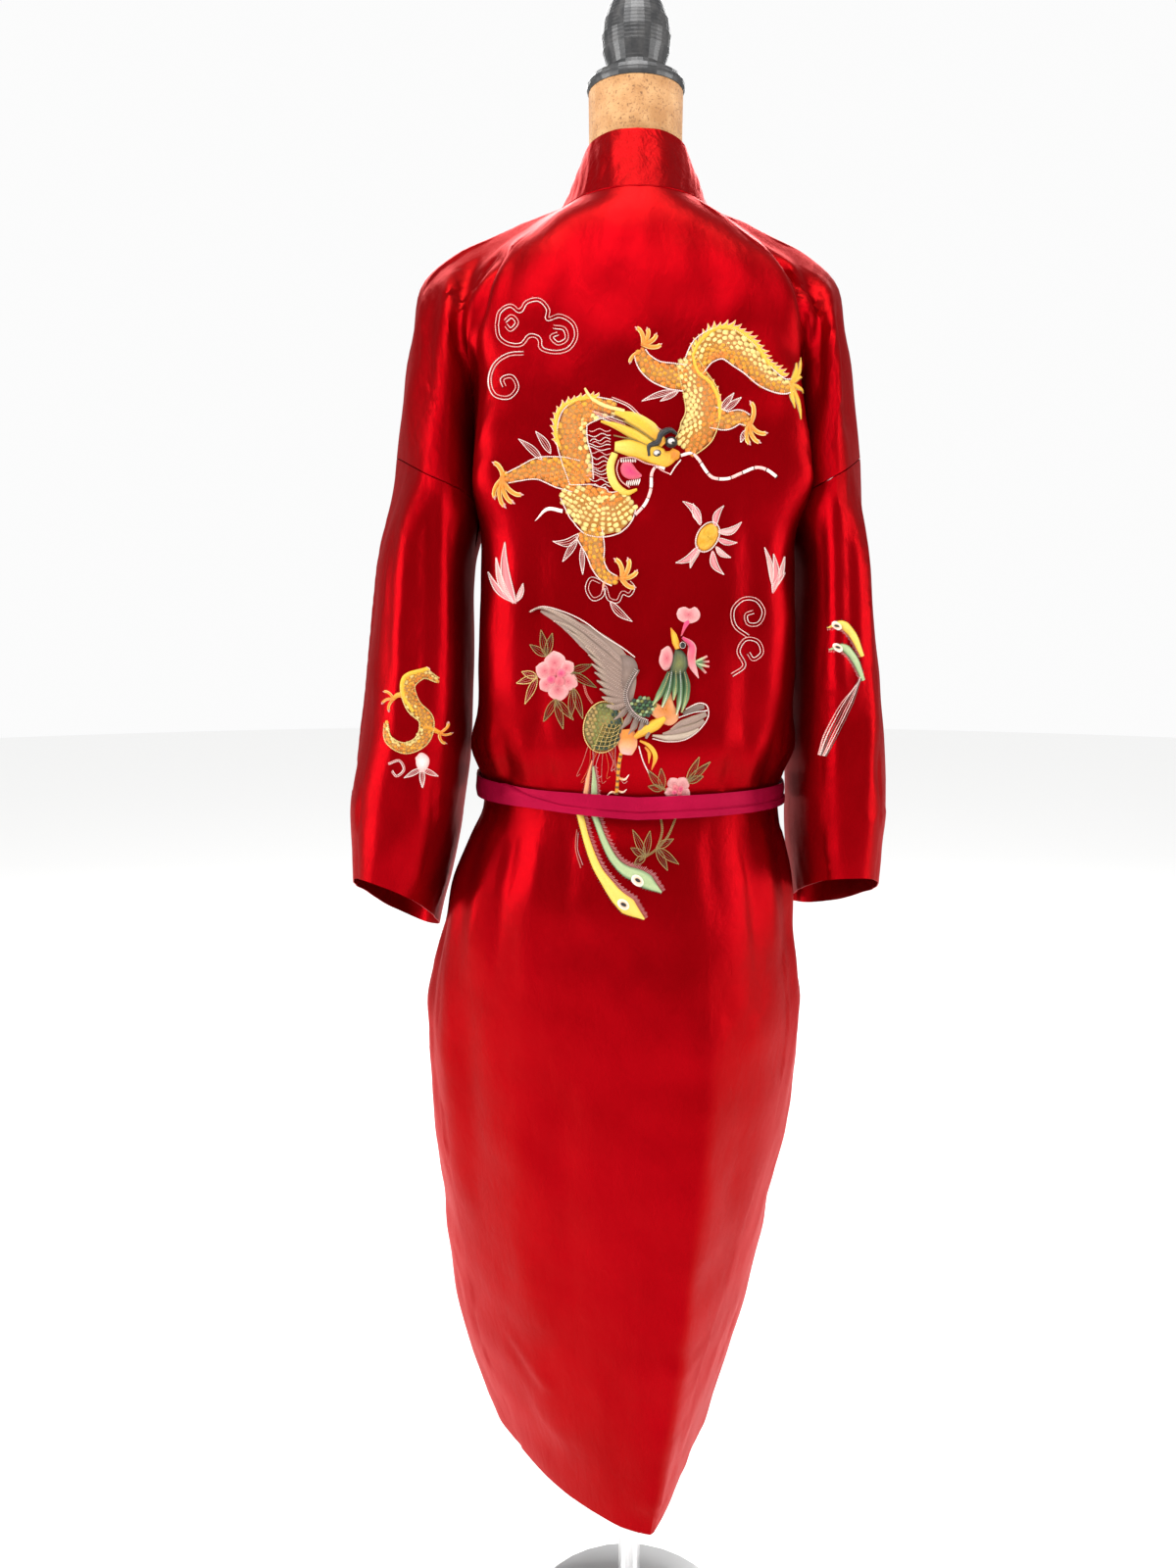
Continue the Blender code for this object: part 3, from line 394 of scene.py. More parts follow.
# One shoulder row on one side, centre to shoulder line: a smooth line through its stations,
# with a shelf where the wing rises steeply out of the valley.
def shoulderLine(row, side, face):
    sign = 1.0 if side == "left" else -1.0
    blend = min(1.0, max(0.0, (row.outerX - 0.073) / 0.10))
    fold = 1.0 + ((1.0 if side == "left" else rightFold) - 1.0) * blend
    wing = 1.0 + ((1.0 if side == "left" else rightWing) - 1.0) * blend
    depth, low = (row.backY, row.backZ) if face == "back" else (row.frontY, row.frontZ)
    facing = 1.0 if face == "back" else -1.0
    rise = row.outerZ - low
    foldY = depth - row.foldIn
    valleyX = row.valleyX * wing + (0.006 * blend if side == "right" else 0.0)
    ridgeX = row.ridgeX * wing
    valleyZ = low + valleyRise * rise - row.valleyDrop
    ridgeZ = low + ridgeRise * rise - 0.5 * row.valleyDrop
    stations = [(-0.5 * row.foldX, depth - 0.2 * row.foldIn, low), (0.0, depth, low),
                (0.5 * row.foldX * fold, depth - 0.2 * row.foldIn, low + 0.3 * foldRise * rise),
                (row.foldX * fold, foldY, low + foldRise * rise), (valleyX, row.valleyY, valleyZ),
                (ridgeX, row.ridgeY, ridgeZ), (row.outerX * wing, 0.0, row.outerZ),
                (ridgeX, -row.ridgeY, ridgeZ)]
    marks = [1, 4, 6]
    if blend >= 1.0:
        shelf = (valleyX + 0.30 * (ridgeX - valleyX), row.valleyY + 0.86 * (row.ridgeY - row.valleyY),
                 0.6 * valleyZ + 0.4 * ridgeZ)
        stations.insert(5, shelf)
        marks = [1, 4, 7]
    stations = np.array(stations) * np.array([sign, facing, 1.0])
    line = smoothLine(stations, 700)
    first, split, last = (np.argmin(np.linalg.norm(line - stations[k], axis=1)) for k in marks)
    line[[first, split, last]] = stations[marks]
    return line[first:split + 1], line[split:last + 1]


# A quarter of a body ring: x = middle + (side - middle) sin^(2/n), y = side + (middle - side) cos^(2/n).
def bodyQuarter(row, side, face):
    sideX = row.leftX if side == "left" else -row.rightX
    sideY = row.leftY if side == "left" else row.rightY
    middleX, middleY = (row.backX, row.backY) if face == "back" else (row.frontX, row.frontY)
    fullness = row.fullFront
    if face == "back":
        fullness = row.fullLeft if side == "left" else row.fullRight
    t = np.linspace(0.0, math.pi / 2, 721)
    x = middleX + (sideX - middleX) * np.sin(t)**(2.0 / fullness)
    y = sideY + (middleY - sideY) * np.cos(t)**(2.0 / fullness)
    return np.stack([x, y, np.full_like(t, row.z)], axis=1)


# Knots of the sections: lengths down the centre back.
def rowKnots():
    middle = [(row.backY, row.backZ) for row in shoulderRows] + [(row.backY, row.z) for row in bodyRows]
    return np.concatenate([[0.0], np.cumsum([math.dist(a, b) for a, b in zip(middle, middle[1:])])])


# Rows evenly spaced between sections; the second value is the underarm's row.
def rowPlaces(knots):
    places = [knots[:1]]
    for low, high in zip(knots, knots[1:]):
        places.append(np.linspace(low, high, max(2, round((high - low) / rowLength)) + 1)[1:])
    return np.concatenate(places), sum(len(p) for p in places[:len(shoulderRows)]) - 1


# One face of one side: torso grid, centre to side, and wing grid, valley to shoulder line.
def faceGrids(side, face):
    lines = [shoulderLine(row, side, face) for row in shoulderRows]
    torso = [evenly(body, torsoColumns + 1) for body, _ in lines]
    torso += [evenly(bodyQuarter(row, side, face), torsoColumns + 1) for row in bodyRows]
    wing = [evenly(arm, wingColumns + 1) for _, arm in lines]
    knots = rowKnots()
    at, upperCount = rowPlaces(knots)
    return (throughPoints(knots, torso, at), throughPoints(knots[:len(shoulderRows)], wing,
                                                           at[:upperCount + 1]))


# The whole left or right half of the body, back centre to front centre, with shared normals.
class HalfBody:
    def __init__(self, side):
        backTorso, backWing = faceGrids(side, "back")
        frontTorso, frontWing = faceGrids(side, "front")
        arm = self.upperCount = len(backWing) - 1
        outward = 1.0 if side == "left" else -1.0
        upper = np.concatenate([backTorso[:arm + 1], backWing[:, 1:], frontWing[:, -2::-1],
                                frontTorso[:arm + 1, -2::-1]], axis=1)
        lower = np.concatenate([backTorso[arm:], frontTorso[arm:, -2::-1]], axis=1)
        upperNormal = outward * normalsOf(upper)
        lowerNormal = outward * normalsOf(lower)
        last = torsoColumns + wingColumns
        self.backTorso, self.backWing = backTorso, backWing
        self.frontTorso, self.frontWing = frontTorso, frontWing
        self.backTorsoNormal = np.concatenate([upperNormal[:-1, :torsoColumns + 1],
                                               lowerNormal[:, :torsoColumns + 1]])
        self.backWingNormal = upperNormal[:, torsoColumns:last + 1]
        self.frontWingNormal = upperNormal[:, last:last + wingColumns + 1][:, ::-1]
        self.frontTorsoNormal = np.concatenate([upperNormal[:-1, last + wingColumns:][:, ::-1],
                                                lowerNormal[:, torsoColumns:][:, ::-1]])


# Folds, placed one by one.

# A fold is a path of (across, z) on one face. Its height swells along the path as a smooth step at
# each end and falls away from it as exp(-(distance / width)^2), each side with its own width.
Fold = namedtuple("Fold", "height left right path ends", defaults=((0.3, 0.3),))
intoBelt, outOfBelt, longOutOfBelt, fromSeam = (0.6, 0.1), (0.1, 0.6), (0.1, 0.5), (0.1, 0.7)


# Rows of height, width to the left, width to the right, path and ends, in millimetres.
def inMetres(rows):
    return [Fold(*np.array(row[:3]) / 1000, np.array(row[3]) / 1000, *row[4:]) for row in rows]


# Seen from behind, across is x. Paths run down, so the path's left is the side of larger x.
backFolds = inMetres([
    # the left shoulder: drag folds into the valley, with the small pleat at their top
    (7.7, 6.4, 10.6, [(100, 1558), (122, 1532), (134, 1500), (141, 1460), (146, 1410)]),
    (6.8, 10.6, 6.4, [(132, 1545), (147, 1520), (157, 1478), (164, 1430), (166, 1380)]),
    (-9.9, 7.7, 8.9, [(118, 1545), (133, 1522), (145, 1492), (152, 1450)]),
    (5.8, 12.8, 8.5, [(170, 1548), (178, 1520), (182, 1470), (184, 1400), (186, 1330)]),
    (-7.5, 7.7, 10.2, [(158, 1545), (168, 1515), (172, 1470), (174, 1400)]),
    (-6.4, 10.2, 12.8, [(196, 1520), (199, 1480), (201, 1420), (204, 1360)]),
    (5.2, 9.5, 9.5, [(208, 1510), (214, 1460), (220, 1400), (226, 1340)]),
    # the right shoulder
    (7.2, 11.6, 6.4, [(-98, 1560), (-124, 1530), (-141, 1492), (-151, 1455), (-153, 1400)]),
    (-10.4, 7.7, 7.7, [(-116, 1552), (-137, 1520), (-151, 1487), (-159, 1450)]),
    (8.1, 6.4, 9.5, [(-122, 1556), (-146, 1525), (-161, 1485), (-168, 1440), (-167, 1390)]),
    (-10.4, 7.7, 7.7, [(-158, 1530), (-171, 1500), (-173.5, 1475), (-171, 1430), (-170, 1380)]),
    (7.8, 7.4, 10.6, [(-166, 1535), (-178, 1505), (-183, 1470), (-186, 1420), (-189, 1350)]),
    (-7.5, 8.9, 8.9, [(-190, 1500), (-198, 1460), (-203, 1400), (-206, 1340)]),
    # broad soft swellings across the upper back, and the faint drag lines under the nape
    (3, 22, 30, [(75, 1560), (98, 1520), (108, 1460), (110, 1380)], (0.3, 0.5)),
    (-2.2, 16, 18, [(45, 1555), (66, 1500), (78, 1430)], (0.3, 0.5)),
    (2.6, 26, 24, [(-70, 1560), (-95, 1510), (-110, 1450), (-116, 1360)], (0.3, 0.5)),
    (-2, 18, 16, [(-36, 1565), (-66, 1505), (-84, 1440)], (0.3, 0.5)),
    (0.9, 4, 4, [(40, 1548), (12, 1541), (-12, 1543)]),
    (-0.8, 4, 4, [(52, 1534), (22, 1529), (-4, 1532)]),
    (0.8, 4, 5, [(-18, 1532), (-48, 1527), (-70, 1532)]),
    # long easy hang folds down the middle of the back
    (2.8, 20, 24, [(118, 1360), (121, 1250), (122, 1130), (120, 1040)]),
    (-2.6, 13, 14, [(94, 1310), (97, 1220), (99, 1100), (98, 1030)]),
    (2, 18, 18, [(60, 1200), (64, 1120), (66, 1035)], (0.5, 0.15)),
    (-1.8, 14, 14, [(32, 1160), (34, 1100), (34, 1035)], (0.5, 0.15)),
    (-3, 14, 15, [(-104, 1340), (-107, 1230), (-108, 1110), (-105, 1035)]),
    (2.6, 16, 18, [(-127, 1370), (-131, 1250), (-131, 1120), (-127, 1040)]),
    (-1.6, 13, 13, [(-40, 1280), (-44, 1160), (-46, 1040)], (0.5, 0.2)),
    (1.8, 14, 14, [(-74, 1220), (-77, 1130), (-78, 1040)], (0.5, 0.2)),
    # gathers above and below the belt
    (3.4, 7, 6, [(147, 1100), (143, 1060), (137, 1024)], intoBelt),
    (-3.2, 5, 6, [(135, 1090), (131, 1055), (127, 1022)], intoBelt),
    (2.8, 6, 6, [(112, 1080), (110, 1050), (107, 1020)], intoBelt),
    (-2.4, 6, 5, [(86, 1065), (85, 1045), (83, 1018)], intoBelt),
    (1.8, 7, 6, [(-20, 1055), (-22, 1035), (-23, 1016)], intoBelt),
    (-2.6, 6, 6, [(-92, 1070), (-90, 1040), (-88, 1014)], intoBelt),
    (3, 6, 7, [(-118, 1080), (-114, 1045), (-110, 1012)], intoBelt),
    (-3, 6, 6, [(-139, 1090), (-134, 1050), (-129, 1010)], intoBelt),
    (4, 8, 10, [(140, 985), (152, 940), (166, 870), (176, 780)], outOfBelt),
    (-3.6, 7, 8, [(122, 982), (131, 930), (142, 860), (148, 790)], outOfBelt),
    (2.6, 12, 10, [(98, 982), (104, 920), (110, 840), (113, 740)], outOfBelt),
    (-2, 10, 10, [(66, 980), (69, 930), (71, 860)], outOfBelt),
    (1.4, 12, 10, [(30, 980), (31, 930), (32, 860)], outOfBelt),
    (-3, 8, 9, [(-106, 984), (-114, 930), (-122, 860), (-127, 780)], outOfBelt),
    (3.4, 9, 8, [(-124, 984), (-135, 930), (-146, 860), (-155, 770)], outOfBelt),
    (-1.6, 10, 10, [(-70, 982), (-74, 930), (-77, 870)], outOfBelt),
    # the skirt: the long fold's crest, a pressed line beside it, soft hang folds and drag lines
    (5, 26, 18, [(-52, 860), (-69, 740), (-63, 600), (-49, 470), (-34, 350), (-20, 235)], (0.3, 0.05)),
    (1.1, 3, 6, [(-4, 800), (-6, 650), (-4, 480), (0, 330), (4, 250)]),
    (-4, 22, 20, [(-104, 800), (-110, 680), (-104, 540), (-88, 400)], (0.4, 0.3)),
    (4.2, 14, 18, [(196, 800), (199, 700), (196, 600), (190, 500)]),
    (-4.6, 14, 14, [(172, 830), (176, 720), (173, 600), (166, 480)]),
    (3, 20, 24, [(118, 760), (121, 620), (114, 480), (98, 340), (86, 260)]),
    (-2.6, 18, 20, [(70, 800), (72, 660), (66, 500), (56, 360)]),
    (1.8, 6, 8, [(150, 420), (122, 385), (96, 364), (75, 352)]),
    (-1.4, 6, 6, [(140, 395), (114, 362), (90, 343)]),
    (1.4, 5, 7, [(116, 335), (94, 310), (70, 292)]),
    (-1.2, 5, 5, [(-30, 440), (-60, 425), (-85, 430)]),
    (1.3, 6, 5, [(-26, 425), (-54, 408), (-82, 412)]),
])

# Seen from the front, across is x again, and the path's left is the side of larger x.
frontFolds = inMetres([
    (4.2, 8, 10, [(112, 1548), (133, 1520), (148, 1475), (154, 1410)]),
    (-3.6, 7, 6, [(128, 1548), (148, 1515), (160, 1470), (164, 1410)]),
    (3.4, 9, 12, [(168, 1545), (180, 1500), (188, 1440), (192, 1360)]),
    (-2.8, 8, 8, [(186, 1530), (197, 1480), (204, 1410), (208, 1350)]),
    (4, 10, 8, [(-110, 1545), (-131, 1510), (-144, 1465), (-150, 1400)]),
    (-3.4, 6, 7, [(-128, 1545), (-146, 1508), (-158, 1460), (-161, 1400)]),
    (3.6, 10, 9, [(-164, 1540), (-176, 1495), (-183, 1430), (-187, 1350)]),
    (3, 14, 18, [(98, 1500), (104, 1400), (112, 1280), (118, 1120), (116, 1040)]),
    (-2.6, 12, 14, [(78, 1420), (85, 1300), (92, 1160), (92, 1040)]),
    (-2.8, 14, 13, [(-96, 1440), (-102, 1300), (-108, 1160), (-106, 1040)]),
    (2.8, 15, 16, [(-122, 1420), (-127, 1280), (-130, 1140), (-126, 1040)]),
    (2.2, 10, 10, [(40, 1200), (46, 1120), (48, 1035)], (0.5, 0.1)),
    (3, 6, 7, [(136, 1100), (132, 1060), (127, 1024)], intoBelt),
    (-2.6, 6, 5, [(110, 1080), (107, 1050), (104, 1022)], intoBelt),
    (2.8, 6, 6, [(-134, 1100), (-129, 1060), (-124, 1022)], intoBelt),
    (-2.6, 6, 6, [(-90, 1080), (-88, 1050), (-85, 1020)], intoBelt),
    (4, 12, 14, [(120, 985), (136, 900), (150, 780), (158, 620), (160, 460)], longOutOfBelt),
    (-4, 12, 12, [(98, 985), (112, 900), (124, 780), (130, 620)], longOutOfBelt),
    (3.4, 14, 16, [(62, 985), (74, 880), (86, 740), (92, 560), (94, 380)], longOutOfBelt),
    (-2.8, 12, 12, [(30, 985), (38, 880), (44, 720), (46, 550)], longOutOfBelt),
    (3.8, 14, 12, [(-118, 985), (-128, 880), (-134, 740), (-130, 580)], longOutOfBelt),
    (-3.6, 12, 12, [(-98, 985), (-104, 880), (-108, 740), (-104, 560)], longOutOfBelt),
])

# Seen from the robe's left and right, across is y. Paths run down.
sideFolds = {
    "left": inMetres([
        (4, 8, 8, [(60, 1100), (52, 1060), (46, 1022)], intoBelt),
        (-4, 7, 7, [(36, 1120), (30, 1070), (26, 1022)], intoBelt),
        (3.6, 7, 8, [(-40, 1110), (-36, 1065), (-32, 1022)], intoBelt),
        (-3.6, 7, 7, [(-70, 1100), (-64, 1060), (-58, 1022)], intoBelt),
        (4.6, 12, 12, [(52, 985), (50, 900), (40, 780), (20, 620)], longOutOfBelt),
        (-4.4, 10, 10, [(26, 985), (20, 900), (4, 780), (-20, 620)], longOutOfBelt),
        (4.4, 12, 12, [(-30, 985), (-44, 880), (-70, 720), (-110, 500)], longOutOfBelt),
        (-4, 12, 12, [(-60, 985), (-80, 880), (-112, 720), (-150, 520)], longOutOfBelt),
    ]),
    "right": inMetres([
        (3.8, 8, 7, [(56, 1100), (50, 1060), (44, 1014)], intoBelt),
        (-4, 7, 7, [(30, 1110), (26, 1065), (22, 1014)], intoBelt),
        (3.6, 7, 7, [(-44, 1100), (-40, 1060), (-36, 1014)], intoBelt),
        (4.4, 12, 12, [(48, 982), (44, 900), (30, 780), (6, 640)], longOutOfBelt),
        (-4.2, 11, 11, [(20, 982), (12, 900), (-8, 780), (-36, 640)], longOutOfBelt),
        (4, 12, 12, [(-40, 982), (-54, 880), (-80, 740), (-116, 560)], longOutOfBelt),
    ]),
}

# The sleeves below the drop seam: back and front across x, outer side across y.
sleeveFolds = {
    "left": {
        "back": inMetres([
            (3, 8, 7, [(188, 1330), (186, 1240), (187, 1120), (192, 1000)]),
            (-3, 7, 8, [(199, 1345), (200, 1260), (203, 1160), (208, 1060)]),
            (3.4, 12, 9, [(216, 1350), (222, 1240), (229, 1120), (238, 990)]),
            (-2.6, 8, 8, [(231, 1300), (237, 1200), (243, 1100)]),
            (1.5, 4, 4, [(206, 1353), (207, 1330), (208, 1290)], fromSeam),
            (1.4, 4, 4, [(222, 1356), (224, 1330), (226, 1300)], fromSeam),
            (-2, 8, 8, [(222, 1080), (226, 1000), (232, 920)]),
            (2.2, 8, 8, [(208, 1020), (213, 950), (220, 900)]),
        ]),
        "front": inMetres([
            (3.4, 10, 10, [(196, 1330), (204, 1200), (212, 1060), (222, 940)]),
            (-3, 9, 9, [(216, 1330), (226, 1200), (236, 1060)]),
        ]),
        "side": inMetres([
            (3.6, 14, 12, [(50, 1340), (44, 1200), (40, 1060), (38, 940)]),
            (-3.4, 14, 14, [(10, 1340), (6, 1200), (2, 1060)]),
            (3, 14, 14, [(-40, 1340), (-44, 1180), (-46, 1000)]),
        ]),
    },
    "right": {
        "back": inMetres([
            (-3, 7, 7, [(-172, 1340), (-174, 1240), (-178, 1120)]),
            (3.2, 8, 8, [(-184, 1340), (-188, 1220), (-192, 1100), (-196, 980)]),
            (-2.6, 6, 6, [(-198, 1330), (-203, 1220), (-207, 1120)]),
            (3, 3, 12, [(-214, 1335), (-219, 1240), (-222.5, 1120), (-224, 1000), (-223, 930)], (0.15, 0.3)),
            (1.4, 3, 3, [(-186, 1338), (-188, 1310), (-189, 1270)], fromSeam),
            (1.6, 3, 3, [(-197, 1344), (-198, 1310), (-199, 1280)], fromSeam),
            (1.4, 3, 3, [(-207, 1348), (-209, 1320), (-210, 1290)], fromSeam),
            (-1.8, 6, 6, [(-196, 1180), (-204, 1150), (-214, 1130)]),
            (1.6, 6, 6, [(-192, 1140), (-202, 1110), (-213, 1090)]),
        ]),
        "front": inMetres([
            (3.2, 9, 9, [(-184, 1330), (-190, 1200), (-196, 1060), (-200, 940)]),
            (-2.8, 8, 8, [(-204, 1330), (-212, 1200), (-220, 1060)]),
        ]),
        "side": inMetres([
            (-3, 12, 12, [(50, 1340), (46, 1200), (44, 1060)]),
            (3.2, 13, 13, [(14, 1340), (10, 1180), (6, 1020)]),
            (-2.8, 14, 14, [(-34, 1340), (-40, 1160), (-44, 1000)]),
        ]),
    },
}


# The height of all of a face's folds at places (across, z).
def foldHeights(places, folds):
    height = np.zeros(len(places))
    for fold in folds:
        path = smoothLine(fold.path, 44)
        low, high = path.min(axis=0) - 0.05, path.max(axis=0) + 0.05
        near = np.flatnonzero(((places > low) & (places < high)).all(axis=1))
        if not len(near):
            continue
        offset = places[near][:, None] - path[None]
        nearest = (offset**2).sum(axis=2).argmin(axis=1)
        ahead = headings(path)[0]
        away, ahead = offset[np.arange(len(near)), nearest], ahead[nearest]
        side = ahead[:, 0] * away[:, 1] - ahead[:, 1] * away[:, 0]
        beyond = (ahead * away).sum(axis=1)
        share = nearest / (len(path) - 1)
        swell = smoothStep(share / fold.ends[0]) * smoothStep((1 - share) / fold.ends[1])
        width = np.where(side > 0, fold.left, fold.right)
        height[near] += fold.height * swell * np.exp(-(side**2 + beyond**2) / width**2)
    return height


# Moves cloth along its normals by the folds of each face, weighed by how far it looks that way.
def folded(points, normals, faces, unevenSize=0.0009, seed=3):
    flat, out = points.reshape(-1, 3), normals.reshape(-1, 3)
    height = np.zeros(len(flat))
    for direction, axis, folds in faces:
        weight = smoothStep((out @ np.array(direction) - 0.12) / 0.45)
        height += weight * foldHeights(flat[:, [axis, 2]], folds)
    around = np.where(np.abs(out[:, 1]) > 0.5, flat[:, 0], flat[:, 1])
    height += unevenSize * (unevenness(around, flat[:, 2], 0.045, seed)
                            + 0.5 * unevenness(around, flat[:, 2] * 0.6, 0.020, seed + 1))
    # the belt holds the cloth in
    fromBelt = np.abs(flat[:, 2] - beltHeight(flat[:, 0])) - beltLook["halfHeight"] - 0.003
    freedom = np.where(flat[:, 0]**2 < 0.028, 0.45, 9.0)
    height = np.minimum(height, 0.0010 + np.maximum(fromBelt, 0.0) * freedom)
    return height.reshape(points.shape[:2])


beltLook = {"halfHeight": 0.0110, "clear": 0.0052, "wall": 0.0016, "dome": 0.0010, "step": 0.0013}
beltZ, beltLeftRise, beltRightFall, beltRingZ = 1.0015, 0.075, 0.035, 1.015


# The belt's middle height: a straight slope on each side.
def beltHeight(x):
    return beltZ + np.where(x > 0, beltLeftRise, -beltRightFall) * x


backward, forward, leftward, rightward = (0, 1, 0), (0, -1, 0), (1, 0, 0), (-1, 0, 0)
bodyFaces = [(backward, 0, backFolds), (forward, 0, frontFolds), (leftward, 1, sideFolds["left"]),
             (rightward, 1, sideFolds["right"])]


# Fades a height to nothing within a distance of the grid's first row.
def fadeFromTop(points, distance):
    down = np.cumsum(np.linalg.norm(np.diff(points, axis=0, prepend=points[:1]), axis=2), axis=0)
    return smoothStep(down / distance)


# Moves one column, or one row, of a grid inwards by a gap, towards the one inside it.
def trimColumn(points, column, inside, gap):
    step = points[:, inside] - points[:, column]
    points[:, column] += step / np.maximum(np.linalg.norm(step, axis=1, keepdims=True), 1e-9) * gap


def trimRow(points, row, inside, gap):
    step = points[inside] - points[row]
    points[row] += step / np.maximum(np.linalg.norm(step, axis=1, keepdims=True), 1e-9) * gap


# Both halves side by side, wing, torso, torso, wing, moved out by the folds.
def buildBack(left, right):
    rows = len(left.backTorso)
    points = np.zeros((rows, 2 * (torsoColumns + wingColumns) + 1, 3))
    normals = np.zeros_like(points)
    middle = slice(wingColumns, -wingColumns)
    points[:, middle] = np.concatenate([left.backTorso[:, ::-1], right.backTorso[:, 1:]], axis=1)
    normals[:, middle] = np.concatenate([left.backTorsoNormal[:, ::-1], right.backTorsoNormal[:, 1:]], axis=1)
    arm = left.upperCount
    upper = arm + 1
    for half, place, order in ((left, slice(0, wingColumns), slice(None, 0, -1)),
                               (right, slice(-wingColumns, None), slice(1, None))):
        points[:upper, place] = half.backWing[:, order]
        normals[:upper, place] = half.backWingNormal[:, order]
    height = folded(points, normals, bodyFaces) * fadeFromTop(points, 0.035)
    points += height[..., None] * normals
    trimColumn(points[:upper], 0, 1, seamGap / 2)
    trimColumn(points[:upper], -1, -2, seamGap / 2)
    trimColumn(points[arm:], wingColumns, wingColumns + 1, sideSeamGap / 2)
    trimColumn(points[arm:], -wingColumns - 1, -wingColumns - 2, sideSeamGap / 2)
    trimRow(points[:upper, :wingColumns], -1, -2, seamGap)
    trimRow(points[:upper, -wingColumns:], -1, -2, seamGap)
    trimRow(points, 0, 1, seamGap)
    cells = np.ones((rows - 1, points.shape[1] - 1), bool)
    cells[arm:, :wingColumns] = False
    cells[arm:, -wingColumns:] = False
    piece = addCloth("back_cloth", points, normals, clothWall, redSatin, cells,
                     zeroColumn=wingColumns + torsoColumns)
    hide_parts("back_panel")
    return piece, points[:, middle], normals[:, middle]


# The seamed edge of the left front at heights z, and each row's lines across both fronts.
def edgeAt(z):
    return throughPoints(edgeRows[:, 0], edgeRows[:, 1:], np.atleast_1d(z))[:, 0]


def frontRows(own, other):
    line = np.concatenate([own.frontTorso[:, ::-1], other.frontTorso[:, 1:]], axis=1)
    normal = np.concatenate([own.frontTorsoNormal[:, ::-1], other.frontTorsoNormal[:, 1:]], axis=1)
    return line, normal


# Each row cut where it crosses the front edge, with count + 1 even points from the side to there.
def cutRows(line, normal, edgeX, sign, count):
    points = np.zeros((len(line), count + 1, 3))
    normals = np.zeros_like(points)
    for k in range(len(line)):
        along = lengthAlong(line[k])
        crossing = np.interp(-sign * edgeX[k], -sign * line[k, :, 0], along)
        at = np.linspace(0.0, crossing, count + 1)
        for axis in range(3):
            points[k, :, axis] = np.interp(at, along, line[k, :, axis])
            normals[k, :, axis] = np.interp(at, along, normal[k, :, axis])
    return points, normals / np.linalg.norm(normals, axis=2, keepdims=True)


# The left front lies over the right one by twice the layer gap, both easing to nothing at the sides.
def layerLift(points, sign, share):
    below = np.clip((1.56 - points[..., 2]) / 0.06, 0.0, 1.0)
    return (sign * frontLayerGap * smoothStep(share / 0.4) * below)[..., None]


# Where each row's front edge lies; the right front's mirrors the left one's.
def frontEdgeX(rowPoints, sign):
    return sign * edgeAt(rowPoints[:, rowPoints.shape[1] // 2, 2])


# A front: the rows cut at its edge, lifted for the lap, with its half of the shoulder wing.
def buildFront(name, node, own, other, sign):
    line, normal = frontRows(own, other)
    height = folded(line, normal, bodyFaces) * fadeFromTop(line, 0.035)
    # folds are shared, and flatten towards the band
    nearEdge = smoothStep(np.abs(line[..., 0] - frontEdgeX(line, sign)[:, None]) / 0.05)
    line = line + (height * nearEdge)[..., None] * normal
    count = torsoColumns + lapColumns
    torso, torsoNormal = cutRows(line, normal, frontEdgeX(line, sign), sign, count)
    arm, upper = own.upperCount, own.upperCount + 1
    share = np.linspace(0.0, 1.0, count + 1)
    points = np.zeros((len(torso), wingColumns + count + 1, 3))
    normals = np.zeros_like(points)
    points[:, wingColumns:] = torso + layerLift(torso, sign, share) * torsoNormal
    normals[:, wingColumns:] = torsoNormal
    wing, wingNormal = own.frontWing[:, :0:-1], own.frontWingNormal[:, :0:-1]
    wingHeight = folded(wing, wingNormal, bodyFaces) * fadeFromTop(wing, 0.035)
    points[:upper, :wingColumns] = wing + wingHeight[..., None] * wingNormal
    normals[:upper, :wingColumns] = wingNormal
    trimColumn(points[:upper], 0, 1, seamGap / 2)
    trimColumn(points[arm:], wingColumns, wingColumns + 1, sideSeamGap / 2)
    trimColumn(points, -1, -2, seamGap / 2)
    trimRow(points[:upper, :wingColumns], -1, -2, seamGap)
    cells = np.ones((len(torso) - 1, points.shape[1] - 1), bool)
    cells[arm:, :wingColumns] = False
    piece = addCloth(name, points, normals, clothWall, redSatin, cells, flip=sign > 0)
    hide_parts(node)
    return piece


# A ring in the order inner, back, outer, front: x and y follow cos^p and sin^p, squarer inside.
def sleeveRing(row, side, count):
    sign = 1.0 if side == "left" else -1.0
    angle = np.linspace(0.0, 2 * math.pi, 16 * count, endpoint=False)
    power = np.where((np.cos(angle) > 0) & (np.sin(angle) > 0), sleeveInnerPower, sleevePower)
    x = row.centreX - row.halfX * np.sign(np.cos(angle)) * np.abs(np.cos(angle))**power
    depth = np.where(np.sin(angle) >= 0, row.backY, row.frontY)
    y = depth * np.sign(np.sin(angle)) * np.abs(np.sin(angle))**power
    z = row.z + row.tiltX * (x - row.centreX) + row.tiltY * y
    ring = np.stack([sign * x, y, z], axis=1)
    quarters = [evenly(np.vstack([ring, ring[:1]])[k * 4 * count:(k + 1) * 4 * count + 1],
                       count + 1)[:-1] for k in range(4)]
    return np.concatenate(quarters)


# The drop seam's ring, from the wings' edges, in the order of a sleeve's ring.
def seamRing(backWing, frontWing, count):
    split = backWing.shape[0] // 2
    back, front = backWing, frontWing[::-1]
    parts = (back[:split + 1], back[split:], front[:split + 1], front[split:])
    return np.concatenate([evenly(part, count + 1)[:-1] for part in parts])


